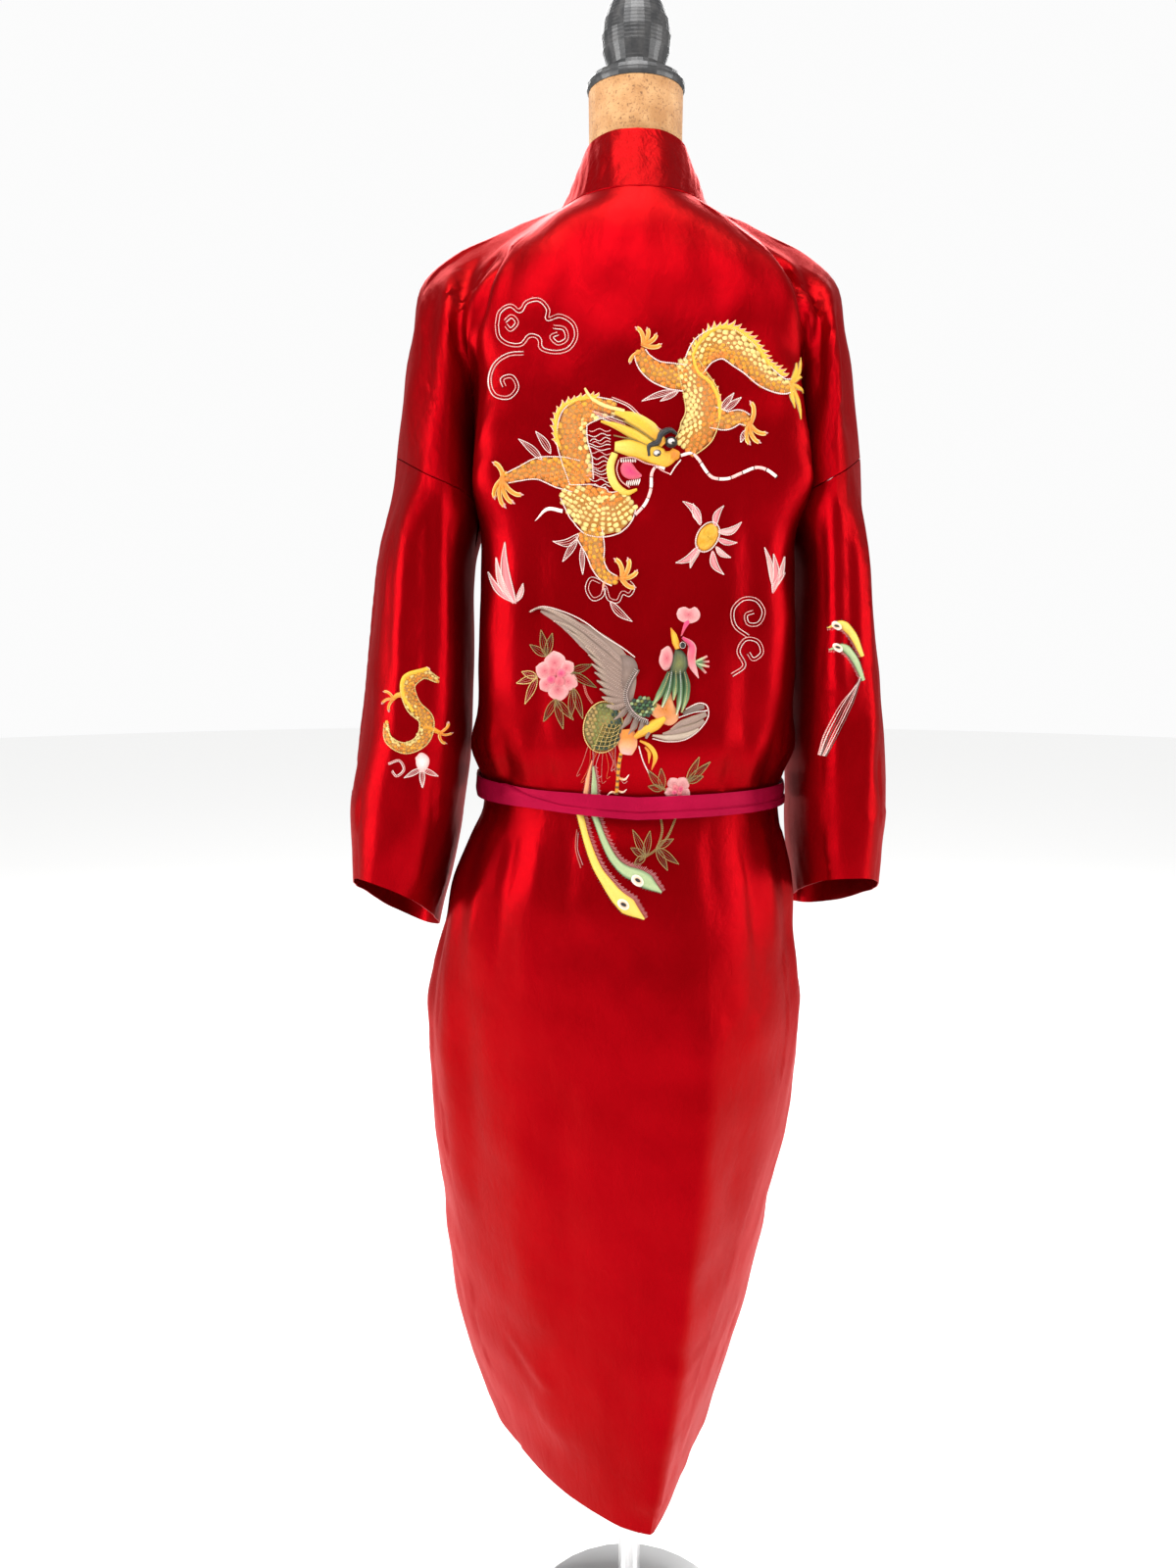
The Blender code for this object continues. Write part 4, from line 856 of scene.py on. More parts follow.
# Rings carried down the sleeve: the two seam rings, then its sections, on a curve through them all.
def sleeveGrid(side, half):
    rings = [seamRing(half.backWing[-2], half.frontWing[-2], sleeveColumns),
             seamRing(half.backWing[-1], half.frontWing[-1], sleeveColumns)]
    rings += [sleeveRing(row, side, sleeveColumns) for row in sleeveTables[side]]
    rings = np.array(rings)
    away = np.exp(-((rings[1] - rings[1][0])**2).sum(axis=1) / 0.03**2)
    rings[1][:, 0] += (1.0 if side == "left" else -1.0) * underarmClear * away
    drop = np.linalg.norm(np.diff(rings.mean(axis=1), axis=0), axis=1)
    knots = np.concatenate([[0.0], np.cumsum(drop)])
    return throughPoints(knots, rings, np.linspace(knots[1], knots[-1], sleeveRows + 1))


# A sleeve: shared folds fade out below the drop seam as its own ones fade in.
def buildSleeve(side, half):
    points = sleeveGrid(side, half)
    sign = 1.0 if side == "left" else -1.0
    normals = sign * normalsOf(points, closed=True)
    own = sleeveFolds[side]
    outward = leftward if side == "left" else rightward
    low = smoothStep((1.34 - points[..., 2]) / 0.03)
    shared = folded(points, normals, bodyFaces[:2]) * (1 - low)
    ownFaces = [(backward, 0, own["back"]), (forward, 0, own["front"]), (outward, 1, own["side"])]
    height = shared + folded(points, normals, ownFaces) * low
    inner = smoothStep((np.abs(points[..., 0]) - 0.168) / 0.012)       # keeps clear of the body
    points = points + (height * np.where(height > 0, inner, 1.0))[..., None] * normals
    trimRow(points, 0, 1, 0.5 * seamGap + 0.5 * clothWall)
    piece = addCloth("sleeve_" + side + "_cloth", points, normals, clothWall, redSatin,
                     closed=True, flip=sign > 0)
    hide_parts("sleeve_" + side)
    return piece, points, normals


# Half of the band, nape to hem: seam line to free edge, straight between them round the neck.
def bandRows(own, other, sign):
    line, normal = frontRows(own, other)
    edgeX = frontEdgeX(line, sign)
    strips = []
    for share in np.linspace(0.0, 1.0, bandColumns + 1):
        cut, out = cutRows(line, normal, edgeX - sign * bandWidth * share, sign, 1)
        strips.append(cut[:, 1] + layerLift(cut[:, 1], sign, np.array(1.0)) * out[:, 1])
    front = np.stack(strips, axis=1)
    share = np.linspace(0.0, 1.0, bandColumns + 1)[None, :, None]
    table = throughPoints(np.arange(len(collarRows)), np.array(collarRows),
                          np.linspace(0, len(collarRows) - 1, 43))
    seam, edge = table[:, None, :3] * (sign, 1, 1), table[:, None, 3:] * (sign, 1, 1)
    neckline = np.concatenate([own.backTorso[0], own.backWing[0], own.frontWing[0][::-1],
                               own.frontTorso[0][::-1]])
    gap = np.linalg.norm(seam[..., :2] - neckline[None, :, :2], axis=2)
    lowered = neckline[gap.argmin(axis=1)]
    seam[:, 0, 2] = np.minimum(seam[:, 0, 2], lowered[:, 2] + 0.0004)
    neck = seam * (1 - share) + edge * share
    # from the collar's end the free edge eases down onto the front
    reach = 22
    near = [neck[-8, -1], neck[-1, -1], front[reach, -1], front[reach + 4, -1]]
    knots = [0, 7, reach + 8, reach + 12]
    lying = throughPoints(knots, near, np.arange(8, reach + 8))[:, None]
    front[:reach] = front[:reach, :1] * (1 - share) + lying * share
    return np.concatenate([neck, front])


bandLook = {"wall": 0.0017, "pucker": 0.0009, "puckerLength": 0.013, "weltRadius": 0.0011}


# The seam's turned edge: a circle carried along the seam between band and body.
def welt(path, normals):
    ahead = np.gradient(path, axis=0)
    ahead /= np.linalg.norm(ahead, axis=1, keepdims=True)
    side = np.cross(ahead, normals)
    turn = np.linspace(0.0, 2 * math.pi, 9)[None, :-1, None]
    points = path[:, None] + bandLook["weltRadius"] * (normals[:, None] * np.cos(turn)
                                                       + side[:, None] * np.sin(turn))
    rows, columns = points.shape[:2]
    index = np.arange(rows * columns).reshape(rows, columns)
    beside = np.roll(index, -1, axis=1)
    quads = np.stack([index[:-1], beside[:-1], beside[1:], index[1:]], axis=2).reshape(-1, 4)
    ends = [np.stack([np.full(columns, index[end, 0]), *pair], axis=1)[1:-1]
            for end, pair in ((0, (beside[0], index[0])), (-1, (index[-1], beside[-1])))]
    uv = np.stack([np.repeat(lengthAlong(path)[:, None], columns, axis=1),
                   np.tile(turn[..., 0] * 0.001, (rows, 1))], axis=2).reshape(-1, 2)
    piece = makeMesh("collar_seam_welt", points.reshape(-1, 3), [quads, np.vstack(ends)], uv, redSatin)
    return piece


# The band from hem to nape to hem, slightly puckered along its seam: sines of uneven length.
def buildBand(left, right):
    points = np.concatenate([bandRows(left, right, 1.0)[::-1], bandRows(right, left, -1.0)[1:]])
    normals = -normalsOf(points)
    seam = welt(points[:, 0].copy(), normals[:, 0])
    trimColumn(points, 0, 1, seamGap + 0.5 * clothWall)
    along = clothUv(points)[..., 1]
    share = np.linspace(0.0, 1.0, bandColumns + 1)[None]
    wave = np.sin(along / bandLook["puckerLength"] * 2 * math.pi + 2.0 * np.sin(along * 31.0))
    height = bandLook["pucker"] * wave * np.sin(np.pi * share)**0.5 * (0.4 + 0.6 * (1 - share))
    height += 0.0009 * unevenness(along, share * 0.05, 0.03, 21) * np.sin(np.pi * share)
    points = points + np.maximum(height, -0.0004)[..., None] * normals
    piece = addCloth("collar_band_cloth", points, normals, bandLook["wall"], bandSatin)
    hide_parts("collar_band")
    return piece, seam


# The body's ring at one height: back centre, left, front, right.
def bodyRing(z, count):
    rows = bodyRows[::-1]
    quarters = []
    for side, face in (("left", "back"), ("left", "front"), ("right", "front"), ("right", "back")):
        grid = [evenly(bodyQuarter(row, side, face), count + 1) for row in rows]
        line = throughPoints([row.z for row in rows], grid, [z])[0]
        outward = (side, face) in (("left", "back"), ("right", "front"))
        quarters.append(line[:-1] if outward else line[:0:-1])
    return np.concatenate(quarters)


# The folded-over edge runs from the belt's top at the left down to low on its face.
foldOver = np.array([(-0.30, -0.42), (0.030, -0.46), (0.075, -0.40), (0.100, 0.05),
                     (0.129, 0.95), (0.160, 1.3)])


# Outward offset: dome (1 - h^2), plus a step of one ply below the folded-over edge, plus soft waves.
def buildBelt():
    ring = bodyRing(beltRingZ, 110)
    ahead = np.roll(ring, -1, axis=0) - np.roll(ring, 1, axis=0)
    outward = np.stack([-ahead[:, 1], ahead[:, 0], np.zeros(len(ring))], axis=1)
    outward /= np.linalg.norm(outward, axis=1, keepdims=True)
    outward *= np.sign(np.sum(outward[:, :2] * ring[:, :2], axis=1, keepdims=True))
    over = (frontLayerGap + 0.001) * np.clip((0.01 - ring[:, 1]) / 0.05, 0.0, 1.0)
    ring = ring + outward * (beltLook["clear"] + over[:, None])
    share = np.linspace(1.0, -1.0, 25)[:, None]
    edge = np.interp(ring[:, 0], foldOver[:, 0], foldOver[:, 1])[None]
    along = lengthAlong(ring)[None]
    narrow = 1.0 - 0.16 * np.exp(-((ring[:, 0] - 0.10) / 0.04)**2) * (ring[:, 1] > 0)
    offset = beltLook["dome"] * (1 - share**2) + beltLook["step"] * smoothStep((edge - share) / 0.07 + 0.5)
    offset = offset - 0.0007 * np.exp(-((edge - share + 0.10) / 0.09)**2)
    offset = offset + 0.0005 * np.sin(along / 0.017 + 3 * share) * np.sin(along / 0.053) * (1 - share**2)
    points = np.repeat(ring[None], len(share), axis=0) + outward[None] * offset[..., None]
    points[..., 2] = beltHeight(ring[:, 0]) + beltLook["halfHeight"] * share * narrow
    normals = normalsOf(points, closed=True)
    normals *= np.sign((normals * outward[None]).sum(axis=2, keepdims=True))
    piece = addCloth("belt_cloth", points, normals, beltLook["wall"], beltSatin, closed=True, flip=True)
    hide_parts("belt_wrap")
    return piece, ring


knotLook = {"depth": 0.0105, "width": 0.0205, "height": 0.0185, "clear": 0.0010}


# The knot: an ellipsoid whose radius is creased by slanting wraps, 1 + a sin(3 polar + turn).
def buildKnot(front):
    polar = np.linspace(0.0, math.pi, 41)[1:-1, None]
    turn = np.linspace(0.0, 2 * math.pi, 73)[None, :-1]
    size = 1.0 - 0.10 * np.cos(2 * turn)**2
    size = size * (1.0 - 0.13 * np.exp(-((polar - math.pi / 2 + 0.45 * np.sin(turn)) / 0.10)**2))
    size = size * (1.0 - 0.07 * np.exp(-((polar - math.pi / 2 - 0.62 - 0.3 * np.sin(turn + 1)) / 0.09)**2))
    middle = front - knotLook["clear"] - knotLook["depth"]
    x = knotLook["width"] * np.sin(polar) * np.cos(turn) * size
    y = middle + knotLook["depth"] * np.sin(polar) * np.sin(turn) * size
    z = beltZ + knotLook["height"] * np.cos(polar) + 0 * turn
    vertices = np.stack([x, y, z], axis=2).reshape(-1, 3)
    ends = [(0.0, middle, beltZ + knotLook["height"]), (0.0, middle, beltZ - knotLook["height"])]
    rows, columns = x.shape
    index = np.arange(rows * columns).reshape(rows, columns)
    ahead = np.roll(index, -1, axis=1)
    quads = np.stack([index[:-1], index[1:], ahead[1:], ahead[:-1]], axis=2).reshape(-1, 4)
    top = np.stack([np.full(columns, rows * columns), index[0], ahead[0]], axis=1)
    bottom = np.stack([np.full(columns, rows * columns + 1), ahead[-1], index[-1]], axis=1)
    uv = np.concatenate([np.stack([turn * 0.02 + 0 * polar,
                                   polar * 0.02 + 0 * turn], axis=2).reshape(-1, 2), np.zeros((2, 2))])
    piece = makeMesh("belt_knot_cloth", np.vstack([vertices, ends]),
                     [quads, np.vstack([top, bottom])], uv, beltSatin)
    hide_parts("belt_knot")
    return piece


tailLook = {"top": 0.9805, "halfWidth": 0.0112, "clear": 0.0076, "wall": 0.0014}


# A hanging end: a strip down the front, with a lengthwise crease and a slow sine wave.
def buildTail(name, node, startX, endX, endZ):
    share = np.linspace(0.0, 1.0, 90)
    z = tailLook["top"] + (endZ - tailLook["top"]) * share
    x = startX + (endX - startX) * share**1.3
    frontY = np.interp(-z, [-row.z for row in bodyRows], [row.frontY for row in bodyRows])
    across = np.linspace(-1.0, 1.0, 13)[None]
    narrow = (0.72 + 0.28 * smoothStep(share / 0.15))[:, None]
    y = (frontY - tailLook["clear"] - 0.002 * np.sin(5.0 * share))[:, None]
    y = y - 0.0016 * np.sin(9.0 * share)[:, None] * across - 0.0008 * np.abs(across) ** 2
    points = np.stack([x[:, None] + tailLook["halfWidth"] * narrow * across, y + 0 * across,
                       z[:, None] - 0.004 * across * smoothStep((share[:, None] - 0.9) * 10)], axis=2)
    normals = normalsOf(points)
    normals *= -np.sign(normals[..., 1:2])
    piece = addCloth(name, points, normals, tailLook["wall"], beltSatin)
    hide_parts(node)
    return piece


left, right = HalfBody("left"), HalfBody("right")
backCloth, backPoints, backNormals = buildBack(left, right)
print("back panel made")
frontLeft = buildFront("front_left_cloth", "front_left", left, right, 1.0)
frontRight = buildFront("front_right_cloth", "front_right", right, left, -1.0)
print("fronts made")
sleeveLeft, leftSleevePoints, leftSleeveNormals = buildSleeve("left", left)
sleeveRight, rightSleevePoints, rightSleeveNormals = buildSleeve("right", right)
collarBand, collarSeam = buildBand(left, right)
print("sleeves and collar band made")
beltPiece, beltRing = buildBelt()
knotPiece = buildKnot(beltRing[:, 1].min() - 0.5 * beltLook["wall"] - 0.0022)
tailLeft = buildTail("belt_tail_left_cloth", "belt_tail_left", 0.010, 0.020, 0.640)
tailRight = buildTail("belt_tail_right_cloth", "belt_tail_right", -0.014, -0.030, 0.700)
print("belt made")

# The form, its cap and its stand keep their solids and get better finishes.

formLook = {"base": (0.36, 0.165, 0.05), "pale": (0.52, 0.29, 0.12), "fleck": (0.16, 0.065, 0.02)}


# Speckled linen: a crossed weave, cloudy tan, and dark and pale flecks.
def linen():
    material = newMaterial("tanLinen", formLook["base"], 0.85, sockets={"Sheen Weight": 0.15})
    where = placed(material, (1, 1, 1))
    flecks = noise(material, where, 420.0, 3.0, roughness=0.7)
    cloud = noise(material, where, 60.0, 5.0)
    base = ramp(material, cloud, [(0.35, formLook["base"]), (0.7, formLook["pale"])])
    spots = ramp(material, flecks, [(0.34, (0, 0, 0)), (0.44, (1, 1, 1))])
    mixed = node(material, "ShaderNodeMix", {0: spots, 7: base}, data_type="RGBA")
    mixed.inputs[6].default_value = (*formLook["fleck"], 1.0)
    plug(material, mixed.outputs[2], "Base Color")
    weft = bands(material, where, 300.0, 2.0, 2.0, "Z")
    normal = bumped(material, flecks, 0.0012, 0.8)
    plug(material, bumped(material, weft, 0.0003, 0.6, normal), "Normal")
    return material


woodLook = {"black": (0.010, 0.010, 0.011), "worn": (0.045, 0.042, 0.040)}


# Black paint over turned wood: fine turning rings, brush unevenness, paler worn patches.
def blackWood():
    material = newMaterial("blackTurnedWood", woodLook["black"], 0.42,
                           sockets={"Coat Weight": 0.25, "Coat Roughness": 0.3})
    where = placed(material, (1, 1, 1))
    wear = noise(material, where, 70.0, 6.0, roughness=0.65)
    plug(material, ramp(material, wear, [(0.45, woodLook["black"]), (0.8, woodLook["worn"])]), "Base Color")
    plug(material, spanned(material, wear, 0.30, 0.60), "Roughness")
    rings = bands(material, where, 90.0, 0.6, 2.0, "Z")
    normal = bumped(material, wear, 0.0006, 0.6)
    plug(material, bumped(material, rings, 0.0003, 0.5, normal), "Normal")
    return material


steelLook = {"colour": (0.62, 0.62, 0.62), "roughness": (0.24, 0.42)}


# Brushed steel: fine lines round the pole and base, as noise stretched along the turning.
def brushedSteel():
    material = newMaterial("brushedSteel", steelLook["colour"], 0.34, 1.0)
    lines = noise(material, placed(material, (1, 1, 60)), 40.0, 3.0)
    plug(material, spanned(material, lines, *steelLook["roughness"]), "Roughness")
    plug(material, bumped(material, lines, 0.0002, 0.3), "Normal")
    return material


for nodeName, finish in (("form_body", linen()), ("neck_cap_finial", blackWood()),
                         ("stand_pole", brushedSteel()), ("stand_base", brushedSteel())):
    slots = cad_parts[nodeName].material_slots
    for slot in slots:
        slot.material = finish
print("form and stand finished")

# Embroidery: where the cloth lies, and the stitches put on it.

latticeStep = 0.002


# Height y of one face of a piece over a lattice of x and z: each row is met across x, then down z.
def clothLattice(points, normals, low, high, bottom, top):
    across = np.arange(low, high, latticeStep)
    down = np.arange(bottom, top, latticeStep)
    outer = points + 0.5 * clothWall * normals
    order = 1 if outer[5, -1, 0] > outer[5, 0, 0] else -1
    rows = outer[:, ::order]
    y = np.array([np.interp(across, row[:, 0], row[:, 1]) for row in rows])
    z = np.array([np.interp(across, row[:, 0], row[:, 2]) for row in rows])
    height = np.array([np.interp(down, z[::-1, k], y[::-1, k]) for k in range(len(across))]).T
    return {"low": low, "bottom": bottom, "height": height,
            "slopeX": np.gradient(height, latticeStep, axis=1),
            "slopeZ": np.gradient(height, latticeStep, axis=0)}


# A table's value at places between the lattice's points, straight between its four neighbours.
def latticeValue(lattice, key, x, z):
    table = lattice[key]
    a = np.clip((x - lattice["low"]) / latticeStep, 0, table.shape[1] - 1.001)
    b = np.clip((z - lattice["bottom"]) / latticeStep, 0, table.shape[0] - 1.001)
    i, j = a.astype(int), b.astype(int)
    s, t = a - i, b - j
    return ((table[j, i] * (1 - s) + table[j, i + 1] * s) * (1 - t)
            + (table[j + 1, i] * (1 - s) + table[j + 1, i + 1] * s) * t)


# Design places are centimetres: across to the right as seen from behind, and down from the nape.
napeZ = 1.589


def onCloth(lattice, design, lift):
    x, z = -design[..., 0] / 100, napeZ - design[..., 1] / 100
    y = latticeValue(lattice, "height", x, z)
    slopeX, slopeZ = latticeValue(lattice, "slopeX", x, z), latticeValue(lattice, "slopeZ", x, z)
    normal = np.stack([-slopeX, np.ones_like(slopeX), -slopeZ], axis=-1)
    normal /= np.linalg.norm(normal, axis=-1, keepdims=True)
    return np.stack([x, y, z], axis=-1) + normal * lift[..., None]


# Thread colours, linear.
flossColours = {
    "yellow": (0.62, 0.34, 0.008), "lemon": (0.62, 0.45, 0.07), "orange": (0.58, 0.16, 0.004),
    "amber": (0.60, 0.24, 0.005), "paleGold": (0.70, 0.50, 0.16), "ochre": (0.34, 0.13, 0.008),
    "oldGold": (0.30, 0.19, 0.05),
    "brown": (0.13, 0.05, 0.008), "silver": (0.86, 0.68, 0.62), "rosySilver": (0.84, 0.42, 0.38),
    "white": (0.88, 0.82, 0.76), "black": (0.006, 0.005, 0.005), "magenta": (0.58, 0.012, 0.12),
    "rose": (0.56, 0.075, 0.11), "pink": (0.58, 0.17, 0.18), "palePink": (0.60, 0.30, 0.28),
    "taupe": (0.23, 0.15, 0.115), "darkTaupe": (0.12, 0.075, 0.06), "paleTaupe": (0.36, 0.27, 0.20),
    "grey": (0.25, 0.21, 0.19), "olive": (0.16, 0.16, 0.03), "green": (0.05, 0.12, 0.04),
    "darkGreen": (0.010, 0.034, 0.016), "paleGreen": (0.30, 0.38, 0.18), "peach": (0.64, 0.27, 0.12),
    "flame": (0.62, 0.08, 0.010), "coral": (0.55, 0.13, 0.09), "wine": (0.20, 0.004, 0.012),
}


# Points round an ellipse, turned about its centre.
def ellipse(centre, wide, tall, turn=0.0, count=12):
    angle = np.linspace(0, 2 * math.pi, count + 1)[:-1]
    x, y = wide * np.cos(angle), tall * np.sin(angle)
    return np.stack([centre[0] + x * math.cos(turn) - y * math.sin(turn),
                     centre[1] + x * math.sin(turn) + y * math.cos(turn)], axis=1)


# The colours of a few threads by name.
def threads(names):
    return np.array([flossColours[name] for name in names])


# Silk floss: lustrous parallel threads across each stroke, from the stroke's own UV.
def flossMaterial(name, metallic, roughness, threadsPerMetre, depth):
    material = newMaterial(name, flossColours["yellow"], roughness, metallic,
                           {"Anisotropic": 0.4, "Sheen Weight": 0.1, "Specular IOR Level": 0.4})
    colour = node(material, "ShaderNodeVertexColor", layer_name="floss")
    shade = spanned(material, noise(material, placed(material, (1, 1, 1)), 900.0, 2.0), 0.72, 1.25)
    tinted = node(material, "ShaderNodeVectorMath", {0: colour.outputs["Color"], 1: shade},
                  operation="MULTIPLY")
    plug(material, tinted.outputs[0], "Base Color")
    strands = bands(material, placed(material, (1, 1, 1), useUv=True),
                    threadsPerMetre / 3.1416, 0.8, 1.0, "X")
    plug(material, bumped(material, strands, depth, 0.8), "Normal")
    return material


silkFloss = flossMaterial("silkFloss", 0.05, 0.42, 1500.0, 0.00020)
metalThread = flossMaterial("metalThread", 0.25, 0.34, 900.0, 0.00035)
stitchNoise = np.random.default_rng(11)


# Strokes gathered for one piece: vertices, faces, colours and UV, all in order of sewing.
class Stitching:
    def __init__(self, lattice):
        self.lattice = lattice
        self.vertices, self.quads, self.colours, self.uv = [], [], [], []
        self.count = 0

    # adds grids of one size: design (n, rows, columns, 2), lift, colours and uv alike
    def addGrids(self, design, lift, colours, uv):
        n, rows, columns = design.shape[:3]
        index = np.arange(rows * columns).reshape(rows, columns)
        quads = np.stack([index[:-1, :-1], index[:-1, 1:], index[1:, 1:], index[1:, :-1]],
                         axis=2).reshape(-1, 4)
        # the face that looks out of the cloth has a positive turn in (-across, -down)
        a = design[:, 0, 1] - design[:, 0, 0]
        b = design[:, 1, 0] - design[:, 0, 0]
        turned = (a[:, 0] * b[:, 1] - a[:, 1] * b[:, 0]) < 0
        both = np.where(turned[:, None, None], quads[None, :, ::-1], quads[None])
        self.quads.append((both + (np.arange(n) * rows * columns)[:, None, None]).reshape(-1, 4) + self.count)
        self.vertices.append(onCloth(self.lattice, design, lift).reshape(-1, 3))
        self.colours.append(np.broadcast_to(colours, design.shape[:3] + (3,)).reshape(-1, 3))
        self.uv.append(uv.reshape(-1, 2))
        self.count += n * rows * columns

    # A stroke: its middle is a smooth line, its width is met along it, its section is a low dome
    # height * (1 - s^2)^0.6 with the edges sunk in the cloth. colours run from start to end.
    def stroke(self, path, widths, colour, height=0.0011, base=0.0, step=0.10, across=5, edge=None):
        line = stepped(path, step, 4, 160)
        half = spread(widths, len(line))
        side = headings(line)[1]
        s = np.linspace(-1, 1, across)
        design = line[:, None] + side[:, None] * (half[:, None] * s)[..., None]
        dome = np.maximum(1 - s**2, 0.0)**0.6
        lift = (base + height * np.minimum(half[:, None] / 0.12, 1.0)**0.5) * dome - 0.0003 * (1 - dome)
        mixed = spread(threads([colour] if isinstance(colour, str) else colour), len(line))
        colours = np.repeat(mixed[:, None], across, axis=1)
        if edge is not None:
            blend = smoothStep((np.abs(s) - 0.55) / 0.4)[None, :, None]
            colours = colours * (1 - blend) + np.array(flossColours[edge]) * blend
        length = lengthAlong(line) / 100
        uv = np.stack([length[:, None] + 0 * half[:, None] * s,
                       0 * length[:, None] + half[:, None] * s / 100], axis=2)
        self.addGrids(design[None], lift[None], colours[None], uv[None])

    # A couched cord: a narrow stroke whose height beads along it. Its colour is darkened where the beads dip,
    # as painted shade between them.
    def cord(self, path, colour="silver", half=0.055, height=0.0010, closed=False):
        path = list(path) + ([path[0]] if closed else [])
        line = stepped(path, 0.085, 6)
        side = headings(line)[1]
        s = np.array([-1.0, -0.55, 0.55, 1.0])
        bead = 1.0 + 0.28 * np.cos(np.arange(len(line)) * math.pi)
        design = line[:, None] + side[:, None] * (half * bead[:, None] * s)[..., None]
        lift = height * bead[:, None] * np.array([-0.3, 1.0, 1.0, -0.3])
        # painted shade: the thread's colour falls to 0.62 where the cord dips between beads
        shade = 0.62 + 0.38 * (bead[:, None, None] - 0.72) / 0.56
        colours = np.array(flossColours[colour])[None, None] * shade * np.ones((1, 4, 1))
        length = lengthAlong(line) / 100
        uv = np.stack([length[:, None] + 0 * s, 0 * length[:, None] + s * half / 100], axis=2)
        self.addGrids(design[None], lift[None], colours[None], uv[None])

    # A double couched outline: two cords a little apart.
    def doubleCord(self, path, colour="silver", apart=0.13, half=0.045):
        line = smoothLine(path, 120)
        side = headings(line)[1]
        self.cord(evenly(line + side * apart, 60), colour, half)
        self.cord(evenly(line - side * apart, 60), "rosySilver" if colour == "silver" else colour, half)

    # Straight stitches, many at once: starts and ends (n, 2), a low dome each.
    def stitches(self, starts, ends, half, colours, height=0.0008, base=0.0):
        starts, ends = np.asarray(starts, float), np.asarray(ends, float)
        t, s = np.linspace(0, 1, 5), np.array([-1.0, 0.0, 1.0])
        ahead = ends - starts
        side = np.stack([-ahead[:, 1], ahead[:, 0]], axis=1)
        side /= np.maximum(np.linalg.norm(side, axis=1, keepdims=True), 1e-9)
        taper = np.array([0.35, 0.9, 1.0, 0.9, 0.35])
        line = starts[:, None] + ahead[:, None] * t[None, :, None]
        design = line[:, :, None] + side[:, None, None] * (half * taper[:, None] * s)[None, ..., None]
        lift = (base + height * (1 - (2 * t - 1)**4)[:, None]) * (1 - s**2)[None] - 0.0003 * (s**2)[None]
        colours = np.asarray(colours, float).reshape(-1, 1, 1, 3)
        uv = np.zeros(design.shape)
        uv[..., 0] = s * half / 100
        uv[..., 1] = t[:, None] * 0.01
        self.addGrids(design, np.broadcast_to(lift, design.shape[:3]), colours, uv)

    # Scales: small domed tiles. Each is a rounded lozenge, raised towards its free end, and its colour
    # darkens to 0.45 towards its sunk rim: painted shade between the scales, which also stands in for their
    # dark outlines.
    def tiles(self, centres, ahead, length, width, colours, height=0.0013, base=0.0004):
        n = len(centres)
        t = np.linspace(-1, 1, 6)[:, None]
        s = np.linspace(-1, 1, 5)[None]
        shape = np.sqrt(np.maximum(1 - (0.85 * t)**2, 0.02)) * (1 - 0.15 * t)
        side = np.stack([-ahead[:, 1], ahead[:, 0]], axis=1)
        design = (centres[:, None, None] + ahead[:, None, None] * (length[:, None, None] * t)[..., None]
                  + side[:, None, None] * (width[:, None, None] * shape * s)[..., None])
        dome = (1 - t**4) * (1 - s**2)**0.8
        lift = base + height * dome * (0.75 + 0.25 * t) - 0.0005 * (1 - dome)**6
        lift = np.broadcast_to(lift, (n, 6, 5)) * (0.85 + 0.3 * stitchNoise.random((n, 1, 1)))
        # painted shade: each tile is darker where its dome is low, towards its rim
        shade = (0.45 + 0.55 * smoothStep(dome * 2.2))[None, ..., None]
        uv = np.stack([np.broadcast_to(s, (6, 5)) * 0.003, np.broadcast_to(t, (6, 5)) * 0.003], axis=2)
        self.addGrids(design, lift, colours[:, None, None] * shade, np.broadcast_to(uv, (n, 6, 5, 2)))

    # A limb or body filled with rows of scales: from one side's colours to the other's, over a felt
    # ground. sides gives thread names from the path's one side to the other.
    def scaled(self, path, widths, sides, size=0.52, ground="ochre", outline=None, turn=1.0):
        self.stroke(path, widths, ground, height=0.0007, base=0.0004, step=0.16, across=9)
        line = stepped(path, size * 0.78, 2)
        ahead, beside = headings(line)
        half = spread(widths, len(line))
        centres, directions, where = [], [], []
        for k in range(len(line)):
            n = max(1, int(round(2 * half[k] / size)))
            s = (np.arange(n) + 0.5) / n * 2 - 1 + (0.5 / n if k % 2 else -0.5 / n)
            s = s[np.abs(s) < 1.02] * 0.93
            centres.append(line[k] + beside[k] * (half[k] * s)[:, None]
                           + stitchNoise.normal(0, 0.035, (len(s), 2)))
            directions.append(ahead[k] + stitchNoise.normal(0, 0.22, (len(s), 2)))
            where.append(s)
        centres, directions, where = np.vstack(centres), np.vstack(directions), np.concatenate(where)
        directions /= np.linalg.norm(directions, axis=1, keepdims=True)
        table = threads(sides)
        last = len(table) - 1
        spot = np.clip((where * turn + 1) / 2 * last + stitchNoise.normal(0, 0.28, len(where)), 0, last)
        colours = table[np.rint(spot).astype(int)] * stitchNoise.uniform(0.8, 1.2, (len(where), 1))
        sizes = size * stitchNoise.uniform(0.54, 0.68, len(where))
        self.tiles(centres, directions * turn, sizes, sizes * 0.86, colours)
        # loops of gold thread between the scales
        lean = np.stack([-directions[:, 1], directions[:, 0]], axis=1)
        start = centres - directions * (sizes * 0.9)[:, None] - lean * (sizes * 0.5)[:, None]
        end = start + lean * sizes[:, None] + directions * (sizes * 0.25)[:, None]
        self.stitches(start, end, 0.045, flossColours["paleGold"]
                      * stitchNoise.uniform(0.5, 1.1, (len(start), 1)), 0.0009, 0.0009)
        if outline:
            dense = evenly(smoothLine(path, 300), 60)
            side = headings(dense)[1]
            reach = spread(widths, 60)[:, None] + 0.03
            self.cord(dense + side * reach, outline, 0.06, 0.0013)
            self.cord(dense - side * reach, outline, 0.06, 0.0013)

